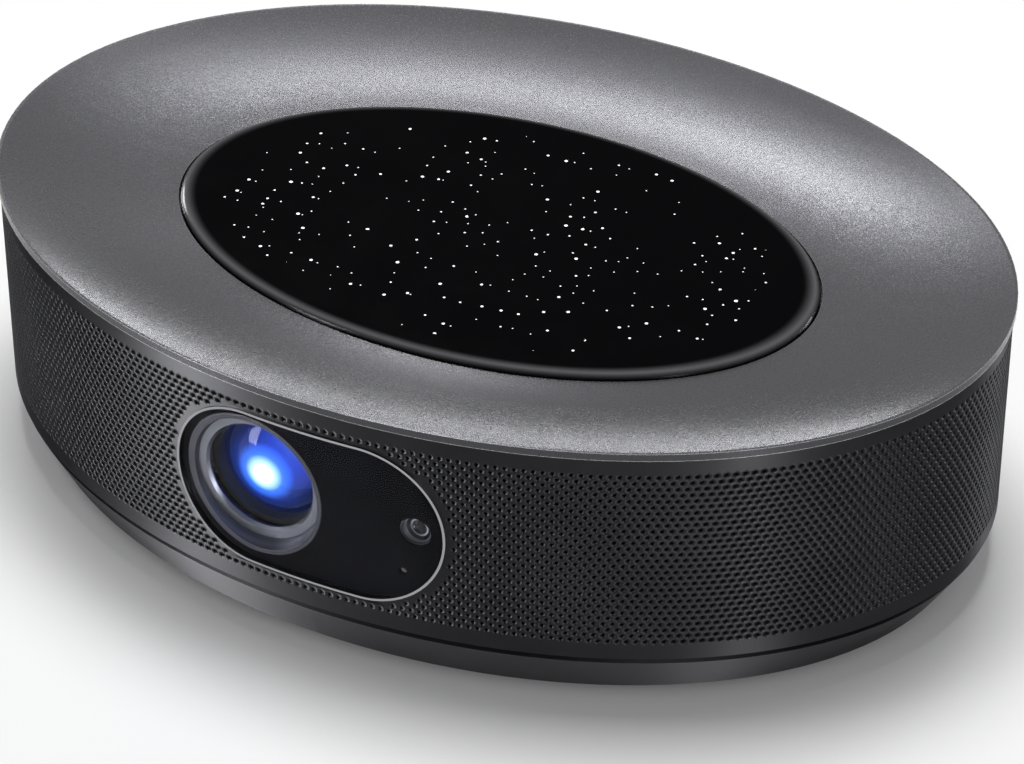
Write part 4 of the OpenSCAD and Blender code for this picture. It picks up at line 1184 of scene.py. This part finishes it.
studio = {
    "floor": (0.9, 0.9, 0.9),
    "floorRough": 0.9,
    "floorReach": 30.0,
    "floorWhite": 0.08,  # added where the floor is looked at or mirrored
    "world": 0.26,
    "aimHeight": 0.05,
}
lamps = {
    # degrees round from the front and degrees up that the light comes from, distance, size, radiance
    # the boxes and strips make the highlights on metal and gloss
    "backBox": {"from": (213.2, 43.7), "distance": 4.0, "size": (0.4, 0.3), "radiance": 13.0, "diffuse": False},
    "lowBox": {"from": (201.0, 2.5), "distance": 3.0, "size": (0.7, 0.14), "radiance": 11.0, "diffuse": False},
    "leftStrip": {"from": (-40.0, 5.0), "distance": 0.8, "size": (0.16, 0.36), "radiance": 60.0, "diffuse": False},
    "rearLeftStrip": {"from": (250.0, 5.0), "distance": 0.8, "size": (0.16, 0.36), "radiance": 40.0, "diffuse": False},
    "rearRightStrip": {"from": (137.0, 5.0), "distance": 0.8, "size": (0.16, 0.36), "radiance": 30.0, "diffuse": False},
    "rightStrip": {"from": (52.0, 5.0), "distance": 0.9, "size": (0.05, 0.36), "radiance": 60.0, "diffuse": False},
    # the broad key lights matt surfaces and the floor, and gives the shadow
    "key": {"from": (205.0, 80.0), "distance": 1.5, "size": (0.7, 0.7), "radiance": 13.0, "mirrored": False},
}


def makeFloor():
    reach = studio["floorReach"]
    verts = [(-reach, -reach, 0), (reach, -reach, 0), (reach, reach, 0), (-reach, reach, 0)]
    material, tree, shader = newMaterial("floor", Roughness=studio["floorRough"], Specular_IOR_Level=0.0)
    path = tree.nodes.new("ShaderNodeLightPath")
    looked = mathNode(tree, "MAXIMUM", path.outputs["Is Camera Ray"], path.outputs["Is Glossy Ray"])
    looked = mathNode(tree, "MAXIMUM", looked, path.outputs["Is Transmission Ray"])
    tree.links.new(mathNode(tree, "MULTIPLY", looked, studio["floorWhite"]), shader.inputs["Emission Strength"])
    shader.inputs["Emission Color"].default_value = (1, 1, 1, 1)
    shader.inputs["Base Color"].default_value = (*studio["floor"], 1)
    floor = newPiece("floor", verts, [(0, 1, 2, 3)], [False], material)


def makeLamp(name, look):
    toLamp = outward(*look["from"])
    data = bpy.data.lights.new(name, "AREA")
    data.shape = "RECTANGLE"
    data.size, data.size_y = look["size"]
    data.energy = look["radiance"] * math.pi * data.size * data.size_y
    lamp = bpy.data.objects.new(name, data)
    lamp.visible_glossy = look.get("mirrored", True)
    lamp.visible_diffuse = look.get("diffuse", True)
    lamp.location = toLamp * look["distance"] + Vector((0, 0, studio["aimHeight"]))
    lamp.rotation_euler = toLamp.to_track_quat("Z", "Y").to_euler()
    bpy.context.scene.collection.objects.link(lamp)


def makeWorld():
    world = bpy.data.worlds.new("studio")
    world.use_nodes = True
    back = world.node_tree.nodes["Background"]
    back.inputs["Color"].default_value = (1, 1, 1, 1)
    back.inputs["Strength"].default_value = studio["world"]
    bpy.context.scene.world = world


makeFloor()
for lampName, lampLook in lamps.items():
    makeLamp(lampName, lampLook)
makeWorld()
bpy.context.scene.view_settings.view_transform = "Standard"
print("studio lit")
